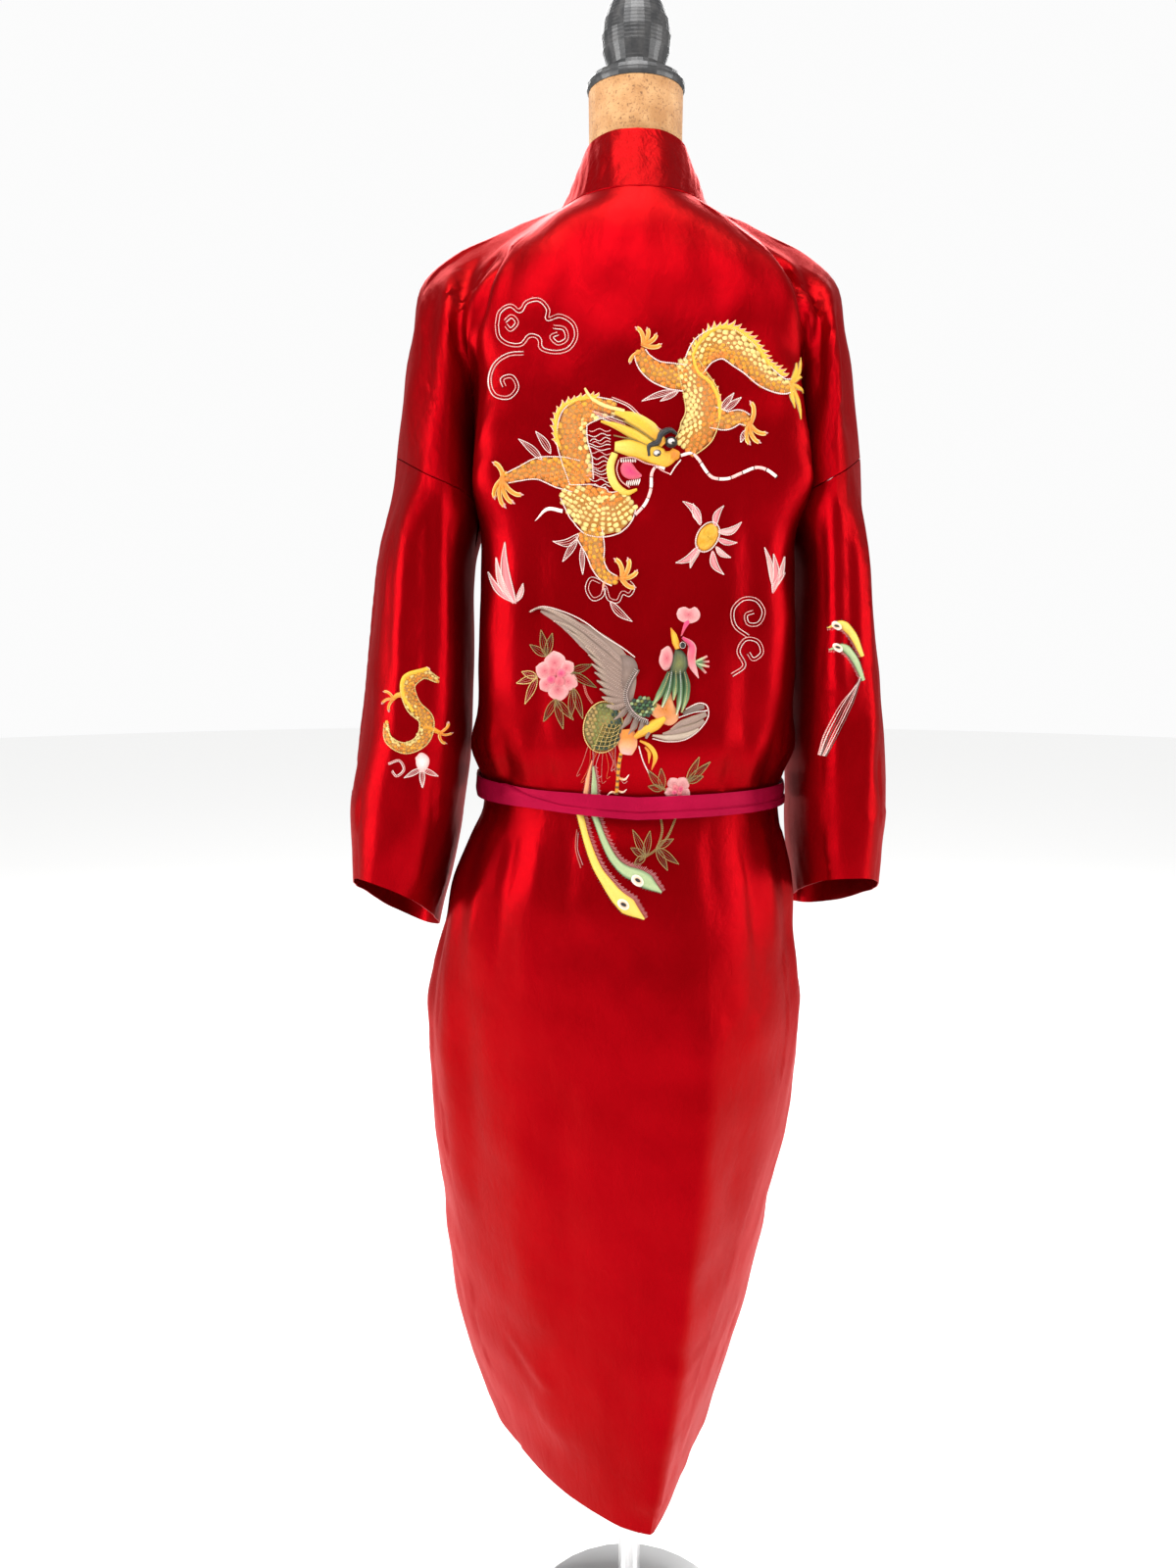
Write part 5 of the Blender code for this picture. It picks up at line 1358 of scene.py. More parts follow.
    # A filled patch: its outline shrinks to its middle in rings, domed as 1 - r^2.
    def patch(self, outline, middle, edge, height=0.0012, base=0.0004, around=40, rings=7, bow=1.0):
        line = evenly(smoothLine(list(outline) + [outline[0]], 240), around + 1)
        centre = line[:-1].mean(axis=0)
        r = np.linspace(0.03, 1, rings)[:, None, None]
        design = centre + (line[None] - centre) * r
        lift = np.repeat(base * (1 - r[..., 0]**6) + height * (1 - r[..., 0]**2)**0.6
                         - 0.0003 * r[..., 0]**8, around + 1, axis=1)
        blend = r**bow
        colours = np.array(flossColours[middle]) * (1 - blend) + np.array(flossColours[edge]) * blend
        colours = np.repeat(colours, around + 1, axis=1)
        turn = lengthAlong(line) / 100
        uv = np.stack([np.repeat(turn[None], rings, axis=0), r[..., 0] * 0.01 + 0 * turn[None]], axis=2)
        self.addGrids(design[None], lift[None], colours[None], uv[None])

    # A flame or leaf: two cords from root to tip, bowed apart, with finer lines inside.
    def leaf(self, root, tip, bow=0.35, outline="silver", inside="rosySilver", lines=2, lean=0.0, fill=None):
        root, tip = np.array(root, float), np.array(tip, float)
        ahead = tip - root
        side = np.array([-ahead[1], ahead[0]]) / np.linalg.norm(ahead)
        t = np.linspace(0, 1, 12)[:, None]
        if fill:
            middle = root + ahead * t + lean * np.sin(np.pi * t) * side
            self.stroke(middle[::2], [0.1, bow * 0.85, bow, bow * 0.85, bow * 0.5, 0.04],
                        fill, 0.0010, 0.0002)
        arch = np.sin(np.pi * t**0.8)
        bend = lean * np.sin(np.pi * t) * side
        for way in (-1, 1):
            self.cord(root + ahead * t + side * way * bow * arch + bend, outline, 0.045, 0.0010)
        for k in range(lines):
            share = (k + 1) / (lines + 1) * 2 - 1
            inner = t * 0.86
            apart = share * bow * np.sin(np.pi * inner**0.8) + lean * np.sin(np.pi * inner)
            self.cord(root + ahead * inner + side * apart, inside, 0.028, 0.0007)

    # A foot: tapered digits from one middle to each tip, each ending in a paler claw.
    def foot(self, middle, tips, half=0.24, colour="orange", claw="palePink", outline="paleGold"):
        middle = np.array(middle, float)
        for tip in tips:
            tip = np.array(tip, float)
            reach = tip - middle
            side = np.array([-reach[1], reach[0]]) * 0.16
            path = [middle - reach * 0.1, middle + reach * 0.45 + side,
                    middle + reach * 0.85 + side * 0.7, tip]
            self.stroke(path, [half * 1.05, half * 1.05, half, half * 0.95], outline, 0.0008, 0.0)
            self.stroke(path, [half * 0.9, half * 0.8, half * 0.72, half * 0.5],
                        [colour, "amber"], 0.0013, 0.0006)
            nail = [tip - reach * 0.08, tip, tip + reach * 0.10 - side * 0.5]
            self.stroke(nail, [half * 0.6, half * 0.5, half * 0.1], claw, 0.0012, 0.0006)

    # Puts everything gathered so far into one piece.
    def finish(self, name, material, slot="red_satin"):
        piece = makeMesh(name, np.vstack(self.vertices), [np.vstack(self.quads)], np.vstack(self.uv),
                         material, np.hstack([np.vstack(self.colours), np.ones((self.count, 1))]), sharp=75)
        return piece


backLattice = clothLattice(backPoints, backNormals, -0.158, 0.158, 0.60, 1.56)
behind = slice(0, 2 * sleeveColumns + 1)       # a sleeve's columns that face backward
leftLattice = clothLattice(leftSleevePoints[:, behind], leftSleeveNormals[:, behind],
                           0.176, 0.285, 0.90, 1.30)
rightLattice = clothLattice(rightSleevePoints[:, behind], rightSleeveNormals[:, behind],
                            -0.256, -0.163, 0.90, 1.30)


# Spikes of a fin along a path, leaning back by lean, with silver tips.
def fin(work, path, spikes, size, turn, lean=0.6, colour="yellow", edge="rosySilver"):
    line = evenly(smoothLine(path, 200), spikes + 1)
    ahead, side = headings(line)
    for k in range(spikes):
        spikeSize = size * (0.8 + 0.4 * abs(math.sin(2.3 * k)))
        tip = line[k] + (side[k] * turn - ahead[k] * lean) * spikeSize
        spike = [line[k] + ahead[k] * 0.15, (line[k] * 0.55 + tip * 0.45) - ahead[k] * 0.04, tip]
        work.stroke(spike, [0.30, 0.22, 0.04], edge, 0.0008)
        work.stroke(spike, [0.24, 0.16, 0.02], colour, 0.0011, 0.0004)
    work.stroke(path, [0.22, 0.26, 0.22], colour, 0.0012, 0.0006)


dragon = Stitching(backLattice)
dragonParts = {
    "rear": ([(14.2, 18.8), (13.4, 18.9), (11.8, 18.1), (10.1, 16.4), (7.9, 15.0), (6.1, 15.6), (5.0, 17.2)],
             [0.55, 0.85, 1.10, 1.35, 1.40, 1.30, 1.00]),
    "loin": ([(4.3, 16.5), (5.0, 18.1), (5.8, 19.9), (5.9, 21.6), (5.3, 23.1), (4.3, 24.4)],
             [0.95, 1.25, 1.60, 1.60, 1.65, 1.15]),
    "shoulder": ([(-2.4, 20.9), (-4.4, 21.0), (-6.0, 21.8), (-6.3, 23.7), (-5.8, 25.7), (-5.4, 27.6)],
                 [0.70, 1.05, 1.30, 1.40, 1.40, 1.10]),
    "belly": ([(-7.0, 28.5), (-5.2, 29.6), (-3.7, 30.4), (-2.2, 30.2), (-1.0, 29.3)],
              [0.70, 1.80, 2.35, 2.10, 1.10]),
    "leftLeg": ([(-5.9, 27.1), (-7.5, 26.7), (-9.4, 26.4), (-11.2, 26.9), (-12.4, 27.3)],
                [1.45, 1.40, 1.05, 0.66, 0.42]),
    "lowLeg": ([(-4.7, 32.3), (-4.2, 33.8), (-3.9, 35.2), (-3.2, 36.3), (-2.3, 36.8)],
               [1.25, 1.00, 0.66, 0.56, 0.48]),
    "rightLeg": ([(6.8, 21.7), (8.2, 22.0), (9.3, 21.7), (10.1, 22.0)], [0.95, 0.85, 0.66, 0.50]),
    "highLeg": ([(4.2, 18.2), (2.8, 18.0), (1.5, 17.6), (0.5, 16.8), (0.0, 15.9)],
                [1.15, 1.15, 0.98, 0.80, 0.55]),
}
for name, sides, turn in (("rightLeg", ["orange", "amber", "orange"], 1.0),
                          ("highLeg", ["orange", "amber", "orange"], 1.0),
                          ("rear", ["orange", "amber", "paleGold", "paleGold"], 1.0),
                          ("loin", ["paleGold", "paleGold", "orange", "orange"], -1.0),
                          ("lowLeg", ["orange", "amber", "orange"], 1.0),
                          ("leftLeg", ["orange", "orange", "amber"], 1.0),
                          ("belly", ["orange", "paleGold", "paleGold"], 1.0),
                          ("shoulder", ["amber", "orange", "orange", "paleGold"], -1.0)):
    dragon.scaled(*dragonParts[name], sides, outline="silver" if name != "loin" else "paleGold", turn=turn)
fin(dragon, [(13.4, 17.9), (11.9, 16.7), (10.7, 15.0), (8.6, 13.6), (6.9, 13.8), (5.6, 14.9),
             (4.9, 16.2)], 22, 0.62, 1.0)
fin(dragon, [(4.9, 16.2), (5.4, 17.6), (6.6, 18.6), (7.4, 20.2), (7.5, 21.9)], 10, 0.42, -1.0)
fin(dragon, [(-4.0, 19.9), (-6.0, 20.2), (-7.5, 21.2), (-7.8, 23.0), (-7.5, 24.4)], 13, 0.50, 1.0)
for tip, bend in (((15.3, 15.8), 0.3), ((14.7, 16.6), 0.1), ((15.5, 17.6), -0.2), ((15.5, 19.2), 0.1),
                  ((15.1, 21.9), 0.2), ((14.5, 20.9), -0.1)):
    middle = ((14.2 + tip[0]) / 2 + bend, (18.7 + tip[1]) / 2)
    dragon.stroke([(14.1, 18.7), middle, tip], [0.30, 0.32, 0.05], "oldGold", 0.0008)
    dragon.stroke([(14.1, 18.7), middle, tip], [0.24, 0.24, 0.03],
                  ["amber", "yellow", "yellow"], 0.0013, 0.0005)
dragon.foot((0.3, 15.1), [(-0.3, 13.7), (0.7, 13.8), (1.5, 14.3), (1.9, 15.2)])
dragon.foot((0.0, 15.9), [(-0.9, 16.8)], half=0.2)
dragon.foot((10.3, 22.3), [(10.4, 20.4), (11.8, 23.2), (11.2, 24.0), (10.3, 24.1)])
dragon.foot((-12.8, 27.4), [(-13.6, 25.9), (-13.6, 29.0), (-12.7, 29.8), (-11.9, 29.5),
                            (-11.1, 28.8)], half=0.26)
dragon.foot((-1.6, 36.5), [(-2.2, 34.8), (-1.0, 34.8), (-0.2, 35.9), (-0.4, 37.4)], half=0.26)
dragon.stroke([(-3.0, 36.6), (-3.3, 37.1), (-3.4, 37.8)], [0.2, 0.15, 0.03], ["amber", "palePink"], 0.0012)
for root, tip, bow, lean in (((-8.3, 25.0), (-9.7, 23.0), 0.32, 0.1),
                             ((-9.1, 25.6), (-11.3, 23.7), 0.30, 0.1),
                             ((-5.6, 32.4), (-8.1, 33.1), 0.36, -0.5),
                             ((-5.8, 32.9), (-7.2, 35.0), 0.28, 0.0), ((-5.4, 33.6), (-5.3, 36.2), 0.22, 0.0),
                             ((3.4, 19.3), (0.2, 20.3), 0.24, 0.1), ((3.6, 19.4), (1.9, 20.3), 0.20, 0.0),
                             ((7.6, 21.0), (8.8, 19.5), 0.26, 0.0), ((7.9, 21.1), (9.5, 19.9), 0.26, 0.0),
                             ((9.9, 22.9), (9.5, 24.0), 0.22, 0.0)):
    dragon.leaf(root, tip, bow, lean=lean)
dragon.stroke([(-7.2, 30.3), (-8.6, 30.1), (-9.8, 31.2)], [0.20, 0.18, 0.03], "silver", 0.0012)
print("dragon's body sewn")

# the head: horns, face and jaw in yellow floss, then eyes, mouth, mane and whiskers
head = Stitching(backLattice)
head.stroke([(-5.1, 19.1), (-4.5, 20.0), (-3.2, 20.7), (-1.4, 21.2)], [0.10, 0.24, 0.26, 0.20],
            "paleGold", 0.0014, 0.0006)
for k in range(15):
    start = 22.9 + 0.36 * k
    reach = 2.0 + 0.35 * math.sin(1.7 * k)
    t = np.linspace(0, 1, 9)
    wave = 0.13 * np.sin(t * (9 + 2 * math.sin(k)) + k)
    head.cord(np.stack([-2.7 - reach * t, start + wave + 0.25 * t * math.sin(k * 0.9)], axis=1),
              "silver" if k % 3 else "rosySilver", 0.040, 0.0011)
for k, shade in enumerate(("wine", "silver", "rosySilver", "white")):
    head.cord([(-4.6 + 0.2 * k, 21.0 + 0.20 * k), (-3.0, 21.4 + 0.22 * k), (-1.3, 22.0 + 0.22 * k)],
              shade, 0.05, 0.0016)
head.stroke([(-2.3, 21.3), (-0.6, 21.9), (1.0, 22.9), (2.3, 24.2)], [0.20, 0.70, 0.78, 0.45],
            ["yellow", "yellow", "amber"], 0.0017, 0.0009, across=7, edge="lemon")
head.stroke([(-3.6, 22.1), (-2.2, 22.5), (-0.7, 23.2), (1.1, 24.3)], [0.10, 0.36, 0.55, 0.50], "yellow",
            0.0019, 0.0012, across=7, edge="lemon")
head.stroke([(-2.3, 24.4), (-0.7, 24.5), (0.9, 24.9), (2.4, 25.5), (3.5, 25.0)],
            [0.45, 0.90, 0.98, 0.90, 0.40], ["lemon", "yellow", "yellow", "amber"], 0.0021, 0.0014, across=9)
head.stroke([(-2.3, 25.0), (-2.7, 26.3), (-2.3, 27.8), (-1.2, 28.6), (-0.2, 28.3)],
            [0.34, 0.40, 0.42, 0.36, 0.12], ["lemon", "lemon", "yellow"], 0.0018, 0.0010, across=7)
head.patch([(3.1, 24.5), (3.8, 24.9), (3.7, 25.5), (3.0, 25.7), (2.7, 25.1)], "orange",
           "amber", 0.0012, 0.0030)
head.patch([(-1.6, 25.8), (-0.9, 25.7), (-0.2, 26.5), (0.3, 27.1), (-0.7, 27.4), (-1.5, 27.1), (-1.8, 26.4)],
           "magenta", "rose", 0.0016, 0.0006)
for lip, lift in (([(-1.9, 25.6), (-2.1, 26.5), (-1.7, 27.5), (-0.9, 28.1)], 0.0018),
                  ([(-1.8, 25.5), (-0.6, 25.4), (0.6, 25.9), (1.9, 26.2)], 0.0026)):
    head.cord(lip, "rosySilver", 0.06, lift)
teeth = np.linspace(0, 1, 7)[:, None]
head.stitches(np.array([(-1.7, 25.5)]) + teeth * (1.3, 0.0), np.array([(-1.65, 25.85)]) + teeth * (1.3, 0.0),
              0.09, [flossColours["white"]] * 7, 0.0010, 0.0018)
head.stitches(np.array([(-1.2, 28.0)]) + teeth * (1.1, -0.1), np.array([(-1.1, 27.5)]) + teeth * (1.2, -0.2),
              0.08, [flossColours["white"]] * 7, 0.0010, 0.0016)
eyeRings = [(1.15, (0.02, 0.04), "black", "black", 0.0010, 0.0030),
            (0.82, (0.0, 0.0), "white", "grey", 0.0010, 0.0038),
            (0.36, (0.16, 0.14), "black", "black", 0.0008, 0.0047)]
for centre, size in (((1.60, 25.0), 0.48), ((2.95, 23.95), 0.56)):
    for share, aside, middle, rimShade, height, base in eyeRings:
        head.patch(ellipse(np.add(centre, aside), size * share, 0.82 * size * share, count=9), middle,
                   rimShade, height, base)
head.stroke([(0.9, 25.3), (0.9, 24.4), (1.7, 24.0), (2.0, 23.3), (2.9, 22.9), (3.5, 23.3)],
            [0.18, 0.30, 0.34, 0.36, 0.28, 0.10], "black", 0.0014, 0.0032, across=7)
head.doubleCord([(-2.6, 20.0), (-1.0, 20.7), (0.3, 21.9), (2.0, 23.0)], "silver", 0.10)
head.cord([(-2.2, 21.8), (-0.4, 22.7), (1.3, 23.8)], "oldGold", 0.05, 0.0024)
head.cord([(-2.4, 23.4), (-0.6, 23.8), (0.7, 24.3)], "oldGold", 0.05, 0.0030)


# A whisker: short silver lengths between black bands.
def whisker(work, path, half=0.16, bands=9):
    line = evenly(smoothLine(path, 200), bands * 4 + 1)
    for k in range(bands):
        part = line[4 * k:4 * k + 5]
        work.stroke(part, [half, half], "rosySilver" if k % 2 else "silver", 0.0013, 0.0003, across=5)
        ahead = part[-1] - part[-2]
        work.stroke([part[-1] - ahead * 0.25, part[-1] + ahead * 0.05], [half * 1.1, half * 1.1],
                    "black", 0.0015, 0.0004)


whisker(head, [(3.9, 25.2), (4.9, 25.0), (5.6, 25.6), (6.2, 26.5), (6.9, 27.2), (8.3, 27.3), (9.6, 26.8),
               (11.0, 26.3), (11.9, 26.5), (12.9, 27.2)])
whisker(head, [(2.4, 26.4), (1.6, 26.2), (1.2, 26.8), (1.1, 28.3), (0.6, 29.6), (-0.4, 30.7)], bands=6)
head.cord([(3.9, 25.6), (3.4, 26.2), (2.9, 27.0)], "silver", 0.07, 0.0012)
head.cord([(1.6, 26.2), (2.2, 26.6), (2.9, 26.9)], "rosySilver", 0.06, 0.0012)
dragonPiece = dragon.finish("dragon_body_embroidery", silkFloss)
headPiece = head.finish("dragon_head_embroidery", silkFloss)
print("dragon's head sewn")


phoenix = Stitching(backLattice)
for k in range(12):
    start = np.array([-4.8 + 0.24 * k, 52.5 + 0.5 * math.sin(k * 0.28)])
    end = np.array([-5.9 + 0.42 * k, 55.6 + 0.7 * math.sin(k * 1.3)])
    phoenix.cord([start, (start * 0.5 + end * 0.5) + (0.35 * math.sin(k), 0.2), end, end + (0.35, -0.25)],
                 ("coral", "flame", "palePink")[k % 3], 0.028, 0.0007)


# A tail plume: its rib in one colour, pink fringe on one side, dark ticks on the other, an eye near the tip.
def plume(work, path, widths, colour, edge, eye=None, fringe=0.50, eyeSize=1.35):
    dense = stepped(path, 0.135, 20)
    ahead, side = headings(dense)
    side = -side
    half = spread(widths, len(dense))[:, None]
    reach = fringe * (0.85 + 0.2 * np.sin(np.arange(len(dense)) * 1.9))[:, None]
    shades = np.where((np.arange(len(dense)) % 2)[:, None] > 0, flossColours["palePink"],
                      flossColours["pink"])
    work.stitches(dense + side * half * 0.8, dense + side * (half + reach) + ahead * 0.12,
                  0.045, shades, 0.0009)
    work.stitches(dense[::2] - side[::2] * half[::2] * 0.8, dense[::2] - side[::2] * (half[::2] + 0.13), 0.05,
                  [flossColours["black"]] * len(dense[::2]), 0.0008)
    work.stroke(path, widths, colour, 0.0016, 0.0004, step=0.12, across=9, edge=edge)
    if eye is not None:
        eyeSpot(work, eye, eyeSize)


# A plume's eye: a black oval on an amber one with a white rim.
def eyeSpot(work, eye, size=1.0):
    work.patch(ellipse(eye, 0.62 * size, 0.40 * size, 0.7), "amber", "white", 0.0008,
               0.0022, around=24, rings=5)
    work.patch(ellipse(eye, 0.32 * size, 0.17 * size, 0.5), "black", "black", 0.0006,
               0.0031, around=18, rings=4)


plume(phoenix, [(-4.4, 53.9), (-4.7, 55.2), (-5.1, 57.9)], [0.05, 0.22, 0.30], "peach", "coral", fringe=0.12)
plume(phoenix, [(-4.3, 54.5), (-4.2, 56.0), (-4.2, 57.9)], [0.10, 0.30, 0.38], "paleGreen",
      "taupe", fringe=0.34)
plume(phoenix, [(-5.6, 59.4), (-4.9, 62.0), (-3.9, 64.5), (-2.9, 66.0), (-2.0, 67.2), (-0.7, 68.4),
                (0.7, 69.5)], [0.36, 0.34, 0.40, 0.46, 0.66, 0.92, 0.10], "lemon",
      "yellow", eye=(-1.35, 68.0))
plume(phoenix, [(-4.2, 59.4), (-3.2, 62.0), (-2.2, 63.8), (-1.1, 64.8), (0.3, 65.4), (1.4, 66.2),
                (2.4, 66.9)], [0.34, 0.32, 0.38, 0.44, 0.66, 0.80, 0.10], "paleGreen",
      "green", eye=(0.05, 65.7))
phoenix.cord([(-5.9, 60.9), (-6.0, 62.8), (-5.5, 64.6)], "coral", 0.05, 0.0008)
phoenix.cord([(-5.75, 61.2), (-5.8, 62.8), (-5.3, 64.3)], "palePink", 0.03, 0.0008)


# Scale tiles over an oval in staggered rows; shades picks the thread by place.
def tiledOval(work, centre, wide, tall, size, turn, shades, heading):
    span = max(wide, tall)
    rows = np.arange(-span, span, size * 0.9)
    spots = np.array([(x + (size * 0.5 if k % 2 else 0), y) for k, y in enumerate(rows)
                      for x in np.arange(-span, span, size * 1.05)])
    spots = spots[(spots[:, 0] / wide)**2 + (spots[:, 1] / tall)**2 < 0.93]
    spun = np.stack([spots[:, 0] * math.cos(turn) - spots[:, 1] * math.sin(turn),
                     spots[:, 0] * math.sin(turn) + spots[:, 1] * math.cos(turn)], axis=1)
    colours = threads([shades(*spot) for spot in spots]) * stitchNoise.uniform(0.75, 1.25, (len(spots), 1))
    direction = np.tile(np.array(heading, float) / np.linalg.norm(heading), (len(spots), 1))
    lengths = np.full(len(spots), size * 0.56)
    work.tiles(np.array(centre) + spun, direction, lengths, lengths * 0.92, colours, 0.0011, 0.0016)


phoenix.patch(ellipse((-3.35, 50.7), 1.85, 2.45, 0.15, 16), "oldGold", "olive", 0.0016, 0.0004)
tiledOval(phoenix, (-3.35, 50.7), 1.80, 2.38, 0.40, 0.15,
          lambda x, y: "darkGreen" if x + 0.35 * y > 0.25 else ("olive" if x > -0.9 else "oldGold"),
          (0.3, 1.0))
phoenix.cord(ellipse((-3.35, 50.7), 1.88, 2.48, 0.15, 16), "paleGold", 0.055, 0.0013, closed=True)
for k in range(5):
    phoenix.cord([(-4.3 + 0.5 * k, 52.9 - 0.1 * k), (-3.9 + 0.45 * k, 51.8), (-3.3 + 0.42 * k, 50.4)],
                 "paleGold", 0.035, 0.0030)
    phoenix.cord([(-4.4 + 0.3 * k, 52.4 - 0.42 * k), (-3.0 + 0.2 * k, 52.5 - 0.42 * k),
                  (-1.9 + 0.05 * k, 52.1 - 0.42 * k)], "paleGold", 0.035, 0.0030)
tiledOval(phoenix, (0.45, 48.7), 1.45, 0.95, 0.36, 0.1,
          lambda x, y: ("green", "darkGreen", "olive", "paleGreen")[int(abs(3 * x + 5 * y)) % 4], (-1.0, 0.3))

wingFeathers = [
    [(-0.8, 45.2), (-3.6, 42.6), (-7.2, 40.1), (-9.3, 39.3), (-10.4, 39.7)],
    [(-0.9, 45.6), (-3.9, 43.2), (-6.6, 41.1), (-8.1, 40.5)],
    [(-1.0, 46.0), (-3.8, 43.8), (-5.6, 42.2), (-6.8, 41.4)],
    [(-1.1, 46.3), (-3.4, 44.4), (-5.1, 42.9)], [(-1.2, 46.6), (-3.3, 44.9), (-4.8, 43.7)],
    [(-1.2, 46.9), (-3.1, 45.6), (-4.5, 44.6)], [(-1.3, 47.2), (-2.9, 46.2), (-4.2, 45.4)],
    [(-1.3, 47.5), (-2.8, 46.8), (-4.0, 46.2)], [(-1.3, 47.8), (-2.7, 47.4), (-3.7, 47.0)],
    [(-1.3, 48.1), (-2.5, 48.1), (-3.5, 47.8)], [(-1.2, 48.5), (-2.2, 48.8), (-3.2, 48.6)],
]
phoenix.stroke([(-1.2, 48.2), (-1.3, 46.0), (-2.4, 44.2), (-4.8, 42.2), (-7.2, 40.6), (-9.3, 39.6)],
               [0.75, 1.30, 1.45, 1.15, 0.62, 0.14], "taupe", 0.0010, 0.0002, across=9)
for k, path in enumerate(wingFeathers[::-1]):
    phoenix.stroke(path, [0.34, 0.42, 0.36, 0.05], ["taupe", "taupe", "paleTaupe"], 0.0014, 0.0012,
                   across=7, edge="darkTaupe")
    line = stepped(path, 0.20, 6, 160)
    ahead, side = np.gradient(line, axis=0), headings(line)[1]
    line, ahead, side = line[1:-1], ahead[1:-1], side[1:-1]
    shades = flossColours["silver"] * stitchNoise.uniform(0.6, 1.2, (len(line), 1))
    phoenix.stitches(line + side * 0.06, line + ahead * 0.5 - side * 0.10, 0.035, shades, 0.0008, 0.0026)
phoenix.cord([(-10.3, 39.6), (-9.2, 39.2), (-7.1, 39.7), (-5.2, 40.6), (-3.3, 42.0), (-1.5, 43.1),
              (-0.3, 44.0)], "silver", 0.06, 0.0016)
phoenix.patch([(-1.7, 43.6), (-0.5, 44.0), (0.0, 45.0), (-0.2, 45.9), (-0.9, 46.9), (-1.0, 48.0),
               (-1.7, 47.0), (-1.7, 45.4)], "taupe", "darkTaupe", 0.0014, 0.0022)
phoenix.stroke([(-0.1, 45.1), (-0.8, 46.5), (-1.1, 47.8), (-0.6, 49.2), (0.8, 50.2)],
               [0.30, 0.34, 0.34, 0.34, 0.30], "darkTaupe", 0.0010, 0.0026)
rim = evenly(smoothLine([(-0.2, 45.2), (-0.9, 46.4), (-1.25, 47.5), (-0.85, 48.9), (0.0, 49.8),
                         (0.9, 50.2)], 200), 34)
rimSide = -headings(rim)[1]
phoenix.stitches(rim - rimSide * 0.22, rim + rimSide * 0.16, 0.045,
                 [flossColours["white"]] * 34, 0.0010, 0.0036)
phoenix.cord(rim + rimSide * 0.18, "silver", 0.05, 0.0034)
for start, end in (((-1.0, 48.8), (-2.3, 50.0)), ((-0.6, 49.3), (-1.7, 50.9)), ((-0.1, 49.8), (-0.9, 51.4)),
                   ((0.5, 50.1), (-0.1, 51.7)), ((0.9, 50.2), (0.8, 51.8))):
    middle = ((start[0] + end[0]) / 2 + 0.15, (start[1] + end[1]) / 2)
    phoenix.stroke([start, middle, end], [0.30, 0.34, 0.10], ["darkTaupe", "taupe"], 0.0013,
                   0.0020, edge="paleTaupe")
for path, widths, colour in (
        ([(6.4, 48.7), (5.5, 48.9), (4.4, 49.5)], [0.22, 0.42, 0.25], "darkTaupe"),
        ([(6.6, 49.4), (5.6, 49.9), (4.2, 50.4), (3.2, 51.0)], [0.25, 0.40, 0.35, 0.15], "taupe"),
        ([(6.4, 50.1), (5.4, 50.7), (3.8, 51.1), (2.4, 51.4)], [0.22, 0.38, 0.38, 0.15], "taupe"),
        ([(5.9, 50.9), (4.6, 51.5), (2.9, 51.7), (1.4, 51.5)], [0.18, 0.34, 0.34, 0.10], "paleTaupe")):
    phoenix.stroke(path, widths, colour, 0.0015, 0.0008, across=7, edge="paleTaupe")
phoenix.cord([(6.7, 49.1), (5.4, 49.3), (3.9, 49.8)], "white", 0.05, 0.0022)
phoenix.cord([(1.4, 51.8), (2.9, 52.1), (4.6, 51.9), (6.0, 50.9), (6.8, 49.6), (6.6, 48.6), (5.9, 48.4),
              (4.6, 49.0)], "silver", 0.06, 0.0014)
phoenix.patch([(1.0, 49.3), (1.6, 48.3), (2.3, 48.6), (3.0, 47.1), (3.5, 48.5), (4.0, 49.6), (3.8, 50.2),
               (3.1, 50.6), (2.3, 50.3)], "orange", "peach", 0.0014, 0.0010)
for k, path in enumerate((
        [(3.0, 45.4), (2.6, 46.5), (2.0, 47.7), (1.4, 48.6)],
        [(3.2, 45.3), (3.0, 46.7), (2.7, 47.8), (2.3, 48.8)],
        [(3.6, 45.2), (3.6, 46.7), (3.4, 48.1)], [(4.0, 45.2), (4.1, 46.8), (4.0, 48.4), (3.7, 49.5)],
        [(4.4, 45.3), (4.7, 46.6), (4.6, 48.0), (4.2, 49.3)])):
    phoenix.stroke(path, [0.20, 0.34, 0.34, 0.08], ["darkGreen", "green", "paleGreen"], 0.0015, 0.0018,
                   across=7, edge="green")
    phoenix.cord(path, "white" if k % 2 else "paleGold", 0.035, 0.0036)
phoenix.patch([(3.6, 43.0), (4.4, 43.5), (4.8, 44.7), (4.1, 45.9), (3.1, 45.6), (3.3, 44.1)], "olive",
              "darkGreen", 0.0016, 0.0024)
phoenix.patch([(2.2, 43.3), (2.9, 42.9), (3.4, 43.8), (3.2, 44.9), (2.6, 45.3), (2.0, 44.5)], "rose",
              "palePink", 0.0014, 0.0020)
phoenix.stroke([(3.1, 41.2), (3.4, 41.9), (3.6, 42.6), (3.8, 43.2)], [0.04, 0.28, 0.36, 0.26],
               ["amber", "yellow", "amber"], 0.0015, 0.0026)
phoenix.stroke([(4.2, 42.1), (5.1, 42.9), (5.1, 44.4), (5.8, 46.0)], [0.12, 0.42, 0.44, 0.05],
               ["magenta", "rose", "palePink"], 0.0016, 0.0012, across=7, edge="palePink")
phoenix.stroke([(4.8, 40.4), (4.4, 41.2), (4.1, 42.0)], [0.32, 0.18, 0.06],
               ["magenta", "rose"], 0.0012, 0.0006)
phoenix.patch([(3.6, 39.9), (3.8, 39.4), (4.4, 39.2), (4.9, 39.4), (5.4, 39.2), (5.9, 39.8), (5.8, 40.4),
               (5.1, 40.8), (4.3, 40.7), (3.8, 40.4)], "rose", "palePink", 0.0016, 0.0006, bow=0.7)
